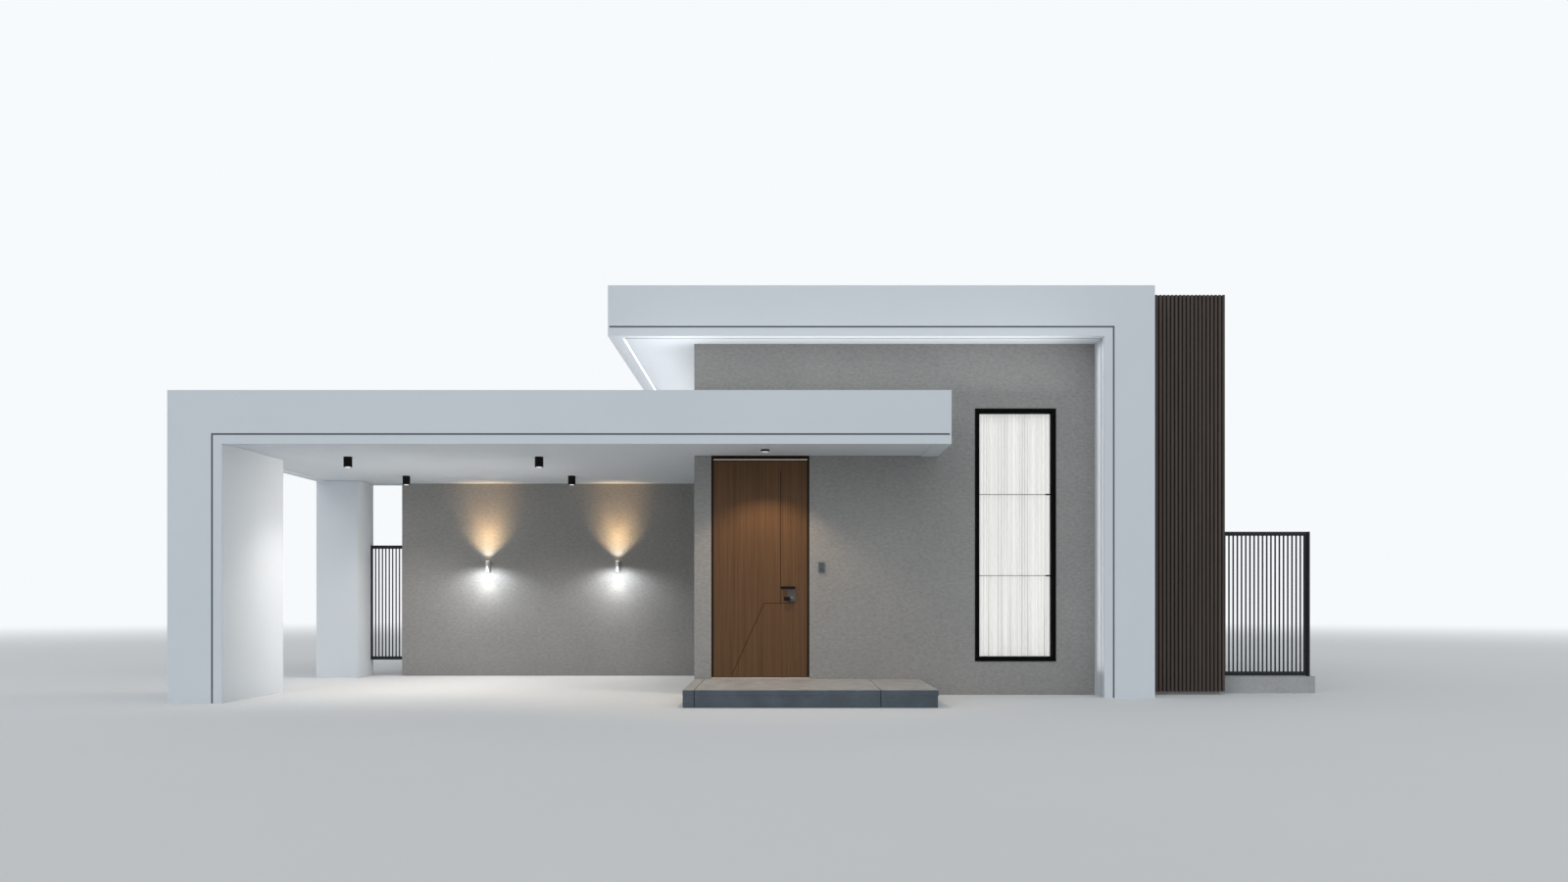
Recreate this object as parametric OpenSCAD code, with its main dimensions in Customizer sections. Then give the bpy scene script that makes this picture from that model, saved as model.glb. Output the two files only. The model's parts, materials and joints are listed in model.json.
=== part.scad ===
// Single-storey house with a white framed carport, a higher framed roof over the main room,
// a slat-clad corner and a barred side gate. Millimetres, +Z up, the street front faces -Y.
// The origin is on the ground, at the middle of the plan. Walls run down to the lowest ground.

/* [Levels] */
// Height of the house floor above the lowest ground
floor_z = 184; // [120:1:300]
// Height of the underside of the low roof band
low_soffit_z = 2775; // [2600:5:3100]
// Depth of the white band around the low roof
low_band_h = 575; // [450:5:700]
// Height of the underside of the high roof band
high_soffit_z = 4085; // [3800:5:4600]
// Depth of the white band around the high roof
high_band_h = 572; // [450:2:700]
// Rise of the low ceilings above the edge band around them
ceiling_rise = 10; // [5:1:20]
// Thickness of the roof slabs
slab_t = 200; // [150:5:260]
// Height of the shadow joint between the legs and the ceiling
ceiling_joint = 3; // [2:0.5:6]

/* [House] */
// Thickness of the outer walls
wall_t = 200; // [150:5:250]
// Length of the plaster front, from the left corner to the tall leg
front_w = 4660; // [4500:10:5600]
// Depth of the house, front wall to rear wall
house_d = 9000; // [7500:50:11000]
// Width of the slat-clad corner
clad_w = 948; // [700:2:1200]
// Thickness of the slat cladding
clad_t = 50; // [40:1:70]
// Pitch of the slats
slat_pitch = 46; // [40:1:60]
// Width of one slat
slat_w = 26; // [20:1:32]
// Thickness of the backing board of the slats
slat_back_t = 14; // [8:1:20]
// Height of the lower edge of the cladding
clad_bottom_z = 40; // [20:5:120]

/* [Carport] */
// Clear width between the carport leg and the house
bay_w = 4965; // [4700:5:5600]
// Depth of the carport, fascia to rear edge
carport_d = 5180; // [4700:10:6000]
// Width of the carport leg and of the rear column
leg_w = 583; // [450:1:700]
// Depth of the carport leg
leg_d = 1720; // [1200:10:2200]
// Depth of the rear column
column_d = 700; // [400:10:900]
// Width of the gap between the rear column and the rear wing
side_gap_w = 481; // [350:1:800]
// Thickness of the low roof band at the front and at the canopy's end
low_band_t = 190; // [150:5:260]
// Thickness of the low roof band at the side
low_side_band_t = 110; // [90:5:200]

/* [Porch] */
// Depth of the porch, carport fascia to house front
porch_d = 1250; // [1000:10:1600]
// Length of the porch canopy in front of the house
canopy_w = 2833; // [1800:1:3100]
// Width of the entrance step
step_w = 2628; // [1600:2:3200]
// Depth of the entrance step
step_d = 1810; // [1300:10:2200]
// Thickness of the stone slabs on the step
step_slab_t = 60; // [40:2:80]
// Set-back of the plinth under the slabs
step_plinth_in = 6; // [2:1:20]

/* [High frame] */
// Width of the tall leg
tall_leg_w = 570; // [450:2:700]
// Reach of the high frame in front of the house
high_reach = 465; // [350:5:700]
// Overhang of the high roof on the left
high_overhang = 944; // [600:2:1200]
// Thickness of the high roof band
high_band_t = 150; // [100:5:200]

/* [Frame grooves] */
// Width of the shadow groove in the frame faces
groove_w = 20; // [10:1:30]
// Depth of the shadow grooves
groove_d = 12; // [6:1:20]
// Distance of the groove's middle from the frame's inner edge
groove_in = 104; // [70:1:150]
// Distance of the groove's end from the frame's end
groove_stop = 17; // [10:1:40]
// Width of the groove in the tall leg's inner reveal and along the high soffit's front
reveal_groove_w = 20; // [10:1:24]
// Width of the groove for the light line along the high soffit's left side
light_groove_w = 24; // [16:1:40]

/* [Entrance door] */
// Width of the wall pier on the left of the door
pier_w = 198; // [180:1:400]
// Width of the doorway
door_w = 1142; // [1000:2:1250]
// Face width of the door jambs
jamb_w = 20; // [16:1:30]
// Depth of the door frame
jamb_d = 70; // [66:1:90]
// Height of the head of the door frame
door_head_h = 50; // [30:1:70]
// Height of the threshold above the floor
threshold_h = 20; // [10:1:30]
// Thickness of the door leaf
leaf_t = 60; // [45:1:65]
// Set-back of the door frame from the wall face
door_set = 5; // [2:1:20]
// Gap around the door leaf
door_gap = 5; // [5:0.5:8]
// Width of the shallow grooves in the leaf
leaf_groove_w = 6; // [4:0.5:10]
// Depth of the shallow grooves in the leaf
leaf_groove_d = 4; // [2:0.5:8]
// Distance of the upright groove from the lock edge
leaf_groove_x = 310; // [240:5:400]
// Height of the level groove above the floor
leaf_groove_z = 883; // [700:1:1000]
// Distance of the upright groove's end from the top of the leaf
leaf_groove_top = 119; // [60:1:200]
// Length of the level groove on the left of the upright one
level_groove_left = 194; // [120:2:260]
// Length of the level groove on the right of the upright one
level_groove_right = 165; // [100:5:220]
// Sideways run of the slanting groove
slant_run = 371; // [200:1:450]
// Distance of the slanting groove's foot from the bottom of the leaf
slant_foot = 33; // [20:1:120]

/* [Door furniture] */
// Length of the horizontal pull bar
pull_w = 168; // [140:1:220]
// Height of the pull bar
pull_h = 28; // [20:1:36]
// Distance of the bar from the door face
pull_reach = 36; // [30:1:50]
// Height of the bar's middle above the floor
pull_z = 1064; // [950:1:1150]
// Distance of the bar's end from the upright groove
pull_off = 4; // [0:1:20]
// Width of the lock plate
lock_plate_w = 104; // [80:1:120]
// Height of the lock plate
lock_plate_h = 146; // [120:1:160]
// Reach of the lock plate past the end of the pull bar
lock_plate_past = 9; // [0:1:20]
// Thickness of the lock plate
lock_plate_t = 10; // [6:1:14]
// Diameter of the lever
lever_dia = 22; // [14:1:26]
// Length of the lever
lever_w = 104; // [80:1:120]
// Height of the lever above the lower edge of the lock plate
lever_up = 32; // [26:1:60]

/* [Hinges] */
// Radius of the hinge knuckles
knuckle_r = 8; // [6:0.5:9]
// Distance of the hinge pin from the rear face of the leaf
pin_off = 10; // [9:0.5:12]
// Radius of the hinge pins
pin_r = 4; // [3:0.5:5]
// Clearance between pin and bore
pin_clear = 0.3; // [0.2:0.1:0.5]
// Height of one hinge
hinge_h = 120; // [90:3:150]
// Distance of the end hinges from the ends of the leaf
hinge_in = 180; // [120:5:300]
// Thickness of the hinge plates
hinge_plate_t = 3; // [2.5:0.5:4]
// Width of the hinge plates on the door leaf
leaf_plate_w = 38; // [24:1:60]

/* [Windows] */
// Width of each window
window_w = 941; // [700:1:1100]
// Height of the window sills
window_sill_z = 391; // [300:1:600]
// Height of the heads of the tall windows
tall_head_z = 3333; // [2900:1:3600]
// Height of the heads of the windows in the rear wing
wing_head_z = 2390; // [2000:5:2600]
// Distance of the front window from the doorway
front_window_gap = 1928; // [1600:2:2200]
// Face width of the window frames
frame_face = 50; // [35:1:70]
// Depth of the window frames
frame_d = 80; // [60:1:100]
// Distance that the frames stand proud of the wall
frame_proud = 10; // [0:1:20]
// Distance from the frame's front face to the glass
pane_set = 56; // [20:1:60]
// Thickness of the glass
pane_t = 20; // [6:1:24]
// Number of panes stacked in a window
pane_rows = 3; // [2:1:4]
// Number of windows in each other wall of the main room and in the wing's rear wall
wall_windows = 2; // [1:1:3]
// Length of the clips at the pane joints
clip_w = 60; // [30:1:80]
// Height of the clips at the pane joints
clip_h = 16; // [10:1:24]
// Thickness of the curtain with its folds
curtain_t = 40; // [20:2:50]
// Distance of the curtain from the glass
curtain_gap = 22; // [15:1:40]
// Height of the curtain rail
rail_h = 26; // [18:1:40]
// Gap under the curtain
curtain_lift = 12; // [5:1:40]
// Gap beside the curtain
curtain_side = 12; // [5:1:30]

/* [Barred gate and screen] */
// Width of the side passage
passage_w = 1154; // [950:2:1400]
// Set-back of the gate behind the house front
gate_set = 290; // [100:5:600]
// Height of the top of the gate
gate_top_z = 1915; // [1500:1:2100]
// Height of the kerb under the gate
kerb_h = 200; // [120:5:300]
// Depth of the kerb
kerb_d = 120; // [80:5:200]
// Distance of the gate's hinge post from the cladding
post_off = 11; // [0:1:40]
// Distance of the gate's other post from the end of the kerb
post_in = 48; // [0:1:100]
// Gap around the gate leaf
gate_gap = 6; // [5:0.5:10]
// Depth of the gate leaf and of the screen
gate_d = 40; // [30:1:50]
// Width of the gate posts and stiles
stile_w = 25; // [20:1:40]
// Depth of the gate posts
post_d = 60; // [50:1:80]
// Height of the top and bottom rails
rail_bar_h = 48; // [25:1:60]
// Pitch of the bars
bar_pitch = 50; // [40:1:80]
// Width of one bar
bar_w = 16; // [12:1:30]
// Depth of one bar
bar_d = 14; // [8:1:20]
// Height of the top of the fixed screen beside the carport
screen_top_z = 1892; // [1500:2:2100]
// Height of the lower edge of the fixed screen
screen_bottom_z = 230; // [190:5:400]

/* [Lights] */
// Diameter of the ceiling spots
spot_dia = 100; // [70:1:130]
// Height of the ceiling spots
spot_h = 120; // [80:1:160]
// Distance of the first spot row from the house side
spot_x_near = 1832; // [1200:1:2200]
// Distance between the spot columns
spot_x_step = 2246; // [1600:1:2600]
// Diameter of the porch light
porch_light_dia = 97; // [70:1:140]
// Height of the porch light's ring
porch_light_h = 22; // [14:1:40]
// Height of the porch light's dome under the ring
porch_dome_h = 13; // [6:1:20]
// Distance of the porch light from the door's hinge side
porch_light_x = 635; // [400:5:700]
// Diameter of the wall lights
wall_light_dia = 70; // [50:1:90]
// Height of the wall lights
wall_light_h = 156; // [100:1:200]
// Height of the middle of the wall lights
wall_light_z = 1584; // [1300:1:2000]
// Distance of the first wall light from the house side
wall_light_x_near = 1355; // [900:5:1800]
// Distance between the wall lights
wall_light_step = 1880; // [1200:5:2400]
// Gap between a wall light and its wall
wall_light_off = 14; // [8:1:30]
// Width of the door panel
panel_w = 68; // [50:1:90]
// Height of the door panel
panel_h = 114; // [90:1:160]
// Thickness of the door panel
panel_t = 20; // [12:1:30]
// Height of the middle of the door panel above the floor
panel_z = 1301; // [1100:1:1500]
// Distance of the door panel from the doorway
panel_gap = 106; // [60:1:200]

/* [Hidden] */

// Plan lines, measured from the front left corner of the main room's walls
carport_front_y = -porch_d;
carport_rear_y = carport_front_y + carport_d;
leg_x = -bay_w - leg_w;
wing_x = -bay_w + side_gap_w;
clad_x = front_w + tall_leg_w;
house_right_x = clad_x + clad_w;
wall_right_x = house_right_x - clad_t;
gate_right_x = house_right_x + passage_w;
high_front_y = -high_reach;
window_x = pier_w + door_w + front_window_gap;

// Heights
low_ceiling_z = low_soffit_z + ceiling_rise;
low_top_z = low_soffit_z + low_band_h;
high_top_z = high_soffit_z + high_band_h;
gate_bottom_z = kerb_h + gate_gap;

// Door leaf
leaf_x = pier_w + jamb_w + door_gap;
leaf_end_x = pier_w + door_w - jamb_w - door_gap;
leaf_bottom_z = floor_z + threshold_h + door_gap;
leaf_top_z = low_ceiling_z - door_head_h - door_gap;
leaf_rear_y = door_set + jamb_d;
leaf_y = leaf_rear_y - leaf_t;
door_pin_x = leaf_x - door_gap / 2;
door_pin_y = leaf_rear_y + pin_off;
groove_x = leaf_end_x - leaf_groove_x;
groove_z = floor_z + leaf_groove_z;
slant_h = groove_z - leaf_bottom_z - slant_foot;
pull_x = groove_x + pull_off;
door_hinge_levels = [leaf_bottom_z + hinge_in, (leaf_bottom_z + leaf_top_z - hinge_h) / 2,
                     leaf_top_z - hinge_in - hinge_h];

// Gate
gate_rear_y = gate_set + post_d;
gate_posts_x = [house_right_x + post_off, gate_right_x - post_in - stile_w];
gate_leaf_x = gate_posts_x[0] + stile_w + gate_gap;
gate_leaf_end_x = gate_posts_x[1] - gate_gap;
gate_pin_x = gate_leaf_x - gate_gap / 2;
gate_pin_y = gate_rear_y + pin_off;
gate_hinge_levels = [gate_bottom_z + hinge_in, gate_top_z - hinge_in - hinge_h];

// Windows as [x, y, turn, head height], at the left end of each outer face seen from outside
windows = concat(
    [[window_x, 0, 0, tall_head_z]],
    [for (i = [0 : wall_windows - 1])
        [wall_right_x, evenly(clad_w, house_d, wall_windows, i), 90, tall_head_z]],
    [for (i = [0 : wall_windows - 1])
        [evenly(0, wall_right_x, wall_windows, i) + window_w, house_d, 180, tall_head_z]],
    [for (i = [0 : wall_windows - 1])
        [evenly(wing_x, 0, wall_windows, i) + window_w, house_d, 180, wing_head_z]],
    [[wing_x, evenly(carport_rear_y, house_d, 1, 0) + window_w, -90, wing_head_z]]
);

// Curtain behind the front window
curtain_y = pane_set - frame_proud + pane_t + curtain_gap;

// Middle of the plan
centre_x = (leg_x + gate_right_x) / 2;
centre_y = (min(-step_d, carport_front_y) + house_d + frame_proud) / 2;

// Length of a cutter past the face that it cuts
cut = 1;
$fn = 48;

// Start of window i of n, spaced evenly between two lines
function evenly(from, to, n, i) = from + (i + 0.5) * (to - from) / n - window_w / 2;

// Moves a piece from the house corner to the middle of the plan
module site() {
    translate([-centre_x, -centre_y, 0]) children();
}

// A block from its lowest corner to its highest
module block(low, high) {
    translate(low) cube(high - low);
}

// Places a window's own axes: along the wall, inwards, up
module at_window(w) {
    translate([w[0], w[1], 0]) rotate([0, 0, w[2]]) children();
}

module window_holes() {
    for (w = windows) {
        at_window(w) block([0, -cut, window_sill_z], [window_w, wall_t + cut, w[3]]);
    }
}

// A wall from corner to corner with its windows cut through
module wall(low, high) {
    difference() {
        block(low, high);
        window_holes();
    }
}

// Straight slats on a backing board: along X, outer face at y = 0, rising in Z
module slat_panel(length, height) {
    count = floor((length - slat_w) / slat_pitch) + 1;
    margin = (length - (count - 1) * slat_pitch - slat_w) / 2;
    linear_extrude(height) union() {
        translate([0, clad_t - slat_back_t]) square([length, slat_back_t]);
        for (i = [0 : count - 1]) {
            translate([margin + i * slat_pitch, 0]) square([slat_w, clad_t]);
        }
    }
}

// A flat panel of upright bars in a frame, from x = 0 and z = 0, centred in depth on y = 0
module barred_panel(length, height) {
    clear = length - 2 * stile_w;
    count = round((clear + bar_w) / bar_pitch) - 1;
    step = (clear + bar_w) / (count + 1);
    for (x = [0, length - stile_w]) {
        block([x, -gate_d / 2, 0], [x + stile_w, gate_d / 2, height]);
    }
    for (z = [0, height - rail_bar_h]) {
        block([0, -gate_d / 2, z], [length, gate_d / 2, z + rail_bar_h]);
    }
    for (i = [1 : count]) {
        block([stile_w + i * step - bar_w, -bar_d / 2, 0],
              [stile_w + i * step, bar_d / 2, height]);
    }
}

// The fixed half of a hinge: two outer knuckles, the pin and the plate on the post
module hinge_fixed(plate_w) {
    knuckle_h = hinge_h / 3;
    for (z = [0, 2 * knuckle_h]) {
        translate([0, 0, z]) cylinder(r = knuckle_r, h = knuckle_h);
        block([-knuckle_r - cut, -pin_off, z], [0, hinge_plate_t - pin_off, z + knuckle_h]);
    }
    cylinder(r = pin_r, h = hinge_h);
    block([-plate_w, -pin_off, 0], [-knuckle_r - cut, hinge_plate_t - pin_off, hinge_h]);
}

// The moving half of a hinge: the middle knuckle and the plate on the leaf
module hinge_moving(plate_w) {
    play = 0.5;
    knuckle_h = hinge_h / 3;
    difference() {
        union() {
            translate([0, 0, knuckle_h + play]) cylinder(r = knuckle_r, h = knuckle_h - 2 * play);
            block([0, -pin_off, knuckle_h + play],
                  [knuckle_r + cut, hinge_plate_t - pin_off, 2 * knuckle_h - play]);
        }
        cylinder(r = pin_r + pin_clear, h = hinge_h);
    }
    block([knuckle_r + cut, -pin_off, 0], [plate_w, hinge_plate_t - pin_off, hinge_h]);
}

// The upright and level grooves of the low frame, cut into its front face
module low_frame_groove() {
    x = -bay_w - groove_in;
    z = low_soffit_z + groove_in;
    front = carport_front_y - cut;
    back = carport_front_y + groove_d;
    block([x - groove_w / 2, front, -cut], [x + groove_w / 2, back, z + groove_w / 2]);
    block([x - groove_w / 2, front, z - groove_w / 2],
          [canopy_w - groove_stop, back, z + groove_w / 2]);
}

// The grooves of the high frame: level over the front, upright down the tall leg
module high_frame_groove() {
    x = front_w + groove_in;
    z = high_soffit_z + groove_in;
    front = high_front_y - cut;
    back = high_front_y + groove_d;
    block([x - groove_w / 2, front, -cut], [x + groove_w / 2, back, z + groove_w / 2]);
    block([groove_stop - high_overhang, front, z - groove_w / 2],
          [x + groove_w / 2, back, z + groove_w / 2]);
}

// The grooves in the high soffit: level behind the fascia, and for the light line on the left
module high_soffit_grooves() {
    x = high_band_t - high_overhang;
    front = high_front_y + high_band_t - reveal_groove_w / 2;
    low = high_soffit_z - cut;
    high = high_soffit_z + groove_d;
    block([x, front, low], [front_w + groove_d, front + reveal_groove_w, high]);
    block([x, front, low], [x + light_groove_w, house_d - high_band_t, high]);
}

module carport_leg() {
    rear_y = carport_front_y + leg_d;
    color("white") site() difference() {
        union() {
            block([leg_x, carport_front_y, 0], [-bay_w, rear_y, low_soffit_z]);
            block([leg_x + low_side_band_t + ceiling_joint,
                   carport_front_y + low_band_t + ceiling_joint, low_soffit_z - cut],
                  [-bay_w, rear_y, low_ceiling_z - ceiling_joint]);
        }
        low_frame_groove();
    }
}

module rear_column() {
    front_y = carport_rear_y - column_d;
    color("white") site() {
        block([leg_x, front_y, 0], [-bay_w, carport_rear_y, low_soffit_z]);
        block([leg_x + low_side_band_t + ceiling_joint, front_y, low_soffit_z - cut],
              [-bay_w, carport_rear_y - wall_t - ceiling_joint, low_ceiling_z - ceiling_joint]);
    }
}

module carport_roof() {
    inner_x = leg_x + low_side_band_t;
    inner_y = carport_front_y + low_band_t;
    color("white") site() difference() {
        union() {
            block([leg_x, carport_front_y, low_soffit_z], [0, inner_y, low_top_z]);
            block([leg_x, carport_front_y, low_soffit_z], [inner_x, carport_rear_y, low_top_z]);
            block([leg_x, carport_rear_y - wall_t, low_soffit_z],
                  [wing_x, carport_rear_y, low_top_z]);
            block([inner_x - cut, inner_y - cut, low_ceiling_z],
                  [0, carport_rear_y, low_ceiling_z + slab_t]);
        }
        low_frame_groove();
    }
}

module carport_back_wall() {
    color("#86827e") site()
        block([wing_x, carport_rear_y - wall_t, 0], [0, carport_rear_y, low_ceiling_z]);
}

module porch_canopy() {
    inner_y = carport_front_y + low_band_t;
    color("white") site() difference() {
        union() {
            block([0, carport_front_y, low_soffit_z], [canopy_w, inner_y, low_top_z]);
            block([canopy_w - low_band_t, carport_front_y, low_soffit_z],
                  [canopy_w, 0, low_top_z]);
            block([0, inner_y - cut, low_ceiling_z],
                  [canopy_w - low_band_t + cut, 0, low_ceiling_z + slab_t]);
        }
        low_frame_groove();
    }
}

module wing_side_wall() {
    color("#86827e") site()
        wall([wing_x, carport_rear_y, 0], [wing_x + wall_t, house_d - wall_t, low_soffit_z]);
}

module wing_rear_wall() {
    color("#86827e") site()
        wall([wing_x, house_d - wall_t, 0], [0, house_d, low_soffit_z]);
}

module wing_roof() {
    inner_x = wing_x + wall_t;
    inner_y = house_d - wall_t;
    color("white") site() {
        block([wing_x, carport_rear_y, low_soffit_z], [inner_x, house_d, low_top_z]);
        block([wing_x, inner_y, low_soffit_z], [0, house_d, low_top_z]);
        block([inner_x - cut, carport_rear_y, low_ceiling_z],
              [0, inner_y + cut, low_ceiling_z + slab_t]);
    }
}

module wing_floor() {
    color("#9a958c") site()
        block([wing_x + wall_t, carport_rear_y, 0], [wall_t, house_d - wall_t, floor_z]);
}

module entrance_pier() {
    color("#86827e") site() block([0, 0, 0], [pier_w, wall_t, high_soffit_z]);
}

module front_wall_over_door() {
    color("#86827e") site()
        block([pier_w, 0, low_ceiling_z], [pier_w + door_w, wall_t, high_soffit_z]);
}

module front_wall() {
    color("#86827e") site()
        wall([pier_w + door_w, 0, 0], [clad_x, wall_t, high_soffit_z]);
}

module left_wall() {
    color("#86827e") site() block([0, wall_t, 0], [wall_t, carport_rear_y, high_soffit_z]);
}

module upper_side_wall() {
    color("#86827e") site()
        block([0, carport_rear_y, low_ceiling_z], [wall_t, house_d - wall_t, high_soffit_z]);
}

module right_wall() {
    color("#86827e") site()
        wall([wall_right_x - wall_t, wall_t, 0],
             [wall_right_x, house_d - wall_t, high_soffit_z]);
}

module rear_wall() {
    color("#86827e") site()
        wall([0, house_d - wall_t, 0], [wall_right_x, house_d, high_soffit_z]);
}

module corner_wall() {
    color("#86827e") site() block([clad_x, clad_t, 0], [wall_right_x, wall_t, high_top_z]);
}

module house_floor() {
    color("#9a958c") site()
        block([wall_t, wall_t, 0], [wall_right_x - wall_t, house_d - wall_t, floor_z]);
}

module slat_cladding_front() {
    color("#48403c") site() translate([clad_x, 0, clad_bottom_z])
        slat_panel(clad_w, high_top_z - clad_bottom_z);
}

module slat_cladding_side() {
    color("#48403c") site() translate([house_right_x, clad_t, clad_bottom_z])
        rotate([0, 0, 90]) slat_panel(clad_w - clad_t, high_top_z - clad_bottom_z);
}

module tall_leg() {
    reveal_y = high_front_y + high_band_t;
    color("white") site() difference() {
        block([front_w, high_front_y, 0], [clad_x, 0, high_soffit_z]);
        high_frame_groove();
        block([front_w - cut, reveal_y - reveal_groove_w / 2, -cut],
              [front_w + groove_d, reveal_y + reveal_groove_w / 2, high_soffit_z + cut]);
    }
}

module upper_canopy() {
    inner_y = high_front_y + high_band_t;
    color("white") site() difference() {
        union() {
            block([-high_overhang, high_front_y, high_soffit_z], [clad_x, inner_y, high_top_z]);
            block([-high_overhang, high_front_y, high_soffit_z],
                  [high_band_t - high_overhang, wall_t, high_top_z]);
            block([clad_x - high_band_t, high_front_y, high_soffit_z],
                  [clad_x, wall_t, high_top_z]);
            block([high_band_t - high_overhang - cut, inner_y - cut, high_soffit_z],
                  [clad_x - high_band_t + cut, wall_t, high_soffit_z + slab_t]);
        }
        high_frame_groove();
        high_soffit_grooves();
    }
}

module high_roof() {
    inner_x = high_band_t - high_overhang;
    inner_right_x = wall_right_x - high_band_t;
    inner_y = house_d - high_band_t;
    color("white") site() difference() {
        union() {
            block([-high_overhang, wall_t, high_soffit_z], [inner_x, house_d, high_top_z]);
            block([-high_overhang, inner_y, high_soffit_z], [wall_right_x, house_d, high_top_z]);
            block([inner_right_x, wall_t, high_soffit_z], [wall_right_x, house_d, high_top_z]);
            block([inner_x - cut, wall_t, high_soffit_z],
                  [inner_right_x + cut, inner_y + cut, high_soffit_z + slab_t]);
        }
        high_soffit_grooves();
    }
}

module door_threshold() {
    color("#777a7c") site()
        block([pier_w, 0, 0], [pier_w + door_w, wall_t, floor_z + threshold_h]);
}

module door_jambs() {
    color("#3c2e26") site() for (x = [pier_w, pier_w + door_w - jamb_w]) {
        block([x, door_set, floor_z + threshold_h],
              [x + jamb_w, leaf_rear_y, low_ceiling_z - door_head_h]);
    }
}

module door_head() {
    color("#3c2e26") site()
        block([pier_w, door_set, low_ceiling_z - door_head_h],
              [pier_w + door_w, leaf_rear_y, low_ceiling_z]);
}

// Outline of the leaf's grooves from the foot of the upright one: x along the leaf, y up
module leaf_groove_outline() {
    half = leaf_groove_w / 2;
    slant_w = leaf_groove_w / cos(atan2(slant_run, slant_h));
    translate([-half, -half]) square([leaf_groove_w, leaf_top_z - leaf_groove_top - groove_z]);
    translate([-level_groove_left, -half])
        square([level_groove_left + level_groove_right, leaf_groove_w]);
    translate([-level_groove_left, half])
        polygon([[0, 0], [slant_w, 0], [slant_w - slant_run, -slant_h], [-slant_run, -slant_h]]);
}

module door_leaf() {
    color("#5c4230") site() difference() {
        block([leaf_x, leaf_y, leaf_bottom_z], [leaf_end_x, leaf_rear_y, leaf_top_z]);
        translate([groove_x, leaf_y + leaf_groove_d, groove_z]) rotate([90, 0, 0])
            linear_extrude(leaf_groove_d + cut) leaf_groove_outline();
    }
}

module door_hinges() {
    color("silver") site() for (z = door_hinge_levels) {
        translate([door_pin_x, door_pin_y, z]) hinge_fixed(jamb_w + door_gap / 2);
    }
}

module door_hinge_straps() {
    color("silver") site() for (z = door_hinge_levels) {
        translate([door_pin_x, door_pin_y, z]) hinge_moving(leaf_plate_w);
    }
}

module door_handle() {
    bar_t = 14;
    post_w = 16;
    bar_y = leaf_y - pull_reach;
    z = floor_z + pull_z;
    color("#18181a") site() {
        block([pull_x, bar_y, z - pull_h / 2], [pull_x + pull_w, bar_y + bar_t, z + pull_h / 2]);
        for (x = [pull_x + post_w, pull_x + pull_w - 2 * post_w]) {
            block([x, bar_y, z - post_w / 2], [x + post_w, leaf_y, z + post_w / 2]);
        }
    }
}

// One side of the lock: plate, rose and lever, built outwards along -Y from the leaf's face
module lock_side() {
    rose_dia = 46;
    rose_h = 20;
    lever_reach = 38;
    block([0, -lock_plate_t, 0], [lock_plate_w, 0, lock_plate_h]);
    translate([lock_plate_w / 2, 0, lever_up]) rotate([90, 0, 0]) {
        cylinder(d = rose_dia, h = rose_h);
        cylinder(d = lever_dia, h = lever_reach);
    }
    translate([lock_plate_w / 2 + lever_dia / 2, -lever_reach, lever_up])
        rotate([0, -90, 0]) cylinder(d = lever_dia, h = lever_w);
}

module door_lock() {
    x = pull_x + pull_w + lock_plate_past - lock_plate_w;
    z = floor_z + pull_z - pull_h / 2 - lock_plate_h;
    color("#4a4c50") site() {
        translate([x, leaf_y, z]) lock_side();
        translate([x, leaf_rear_y, z]) mirror([0, 1, 0]) lock_side();
    }
}

module door_panel() {
    x = pier_w + door_w + panel_gap;
    z = floor_z + panel_z - panel_h / 2;
    color("#5a6472") site() block([x, -panel_t, z], [x + panel_w, 0, z + panel_h]);
}

// Height of the joint over pane number i of a window with the given head
function pane_joint_z(head, i) =
    window_sill_z + frame_face + i * (head - window_sill_z - 2 * frame_face) / pane_rows;

module window_frames() {
    color("#141416") site() for (w = windows) {
        at_window(w) {
            difference() {
                block([0, -frame_proud, window_sill_z],
                      [window_w, frame_d - frame_proud, w[3]]);
                block([frame_face, -frame_proud - cut, window_sill_z + frame_face],
                      [window_w - frame_face, frame_d + cut, w[3] - frame_face]);
            }
            for (i = [1 : pane_rows - 1]) {
                z = pane_joint_z(w[3], i) - clip_h / 2;
                block([window_w - frame_face - clip_w, pane_set - frame_proud - clip_h, z],
                      [window_w - frame_face + cut, pane_set - frame_proud, z + clip_h]);
            }
        }
    }
}

module window_panes() {
    color("#cfd8de") site() for (w = windows) {
        at_window(w)
            block([frame_face, pane_set - frame_proud, window_sill_z + frame_face],
                  [window_w - frame_face, pane_set - frame_proud + pane_t, w[3] - frame_face]);
    }
}

module curtain() {
    color("#e8e6e0") site() at_window(windows[0])
        block([curtain_side, curtain_y, window_sill_z + curtain_lift],
              [window_w - curtain_side, curtain_y + curtain_t, tall_head_z - rail_h]);
}

module curtain_rail() {
    rail_d = 30;
    middle_y = curtain_y + curtain_t / 2;
    color("silver") site() at_window(windows[0])
        block([0, middle_y - rail_d / 2, tall_head_z - rail_h],
              [window_w, middle_y + rail_d / 2, tall_head_z]);
}

module step_plinth() {
    color("#6f7376") site()
        block([0, step_plinth_in - step_d, 0],
              [step_w - step_plinth_in, 0, floor_z - step_slab_t]);
}

module step_slabs() {
    color("#787a7c") site()
        block([0, -step_d, floor_z - step_slab_t], [step_w, 0, floor_z]);
}

module ceiling_spots() {
    rim = 8;
    mouth = 12;
    from_y = carport_front_y + low_band_t;
    ceiling_d = carport_rear_y - wall_t - from_y;
    color("#101012") site() for (i = [0, 1], j = [0, 1]) {
        translate([-spot_x_near - i * spot_x_step, from_y + (j + 0.5) * ceiling_d / 2,
                   low_ceiling_z - spot_h])
            difference() {
                cylinder(d = spot_dia, h = spot_h);
                translate([0, 0, -cut]) cylinder(d = spot_dia - 2 * rim, h = mouth + cut);
            }
    }
}

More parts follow.
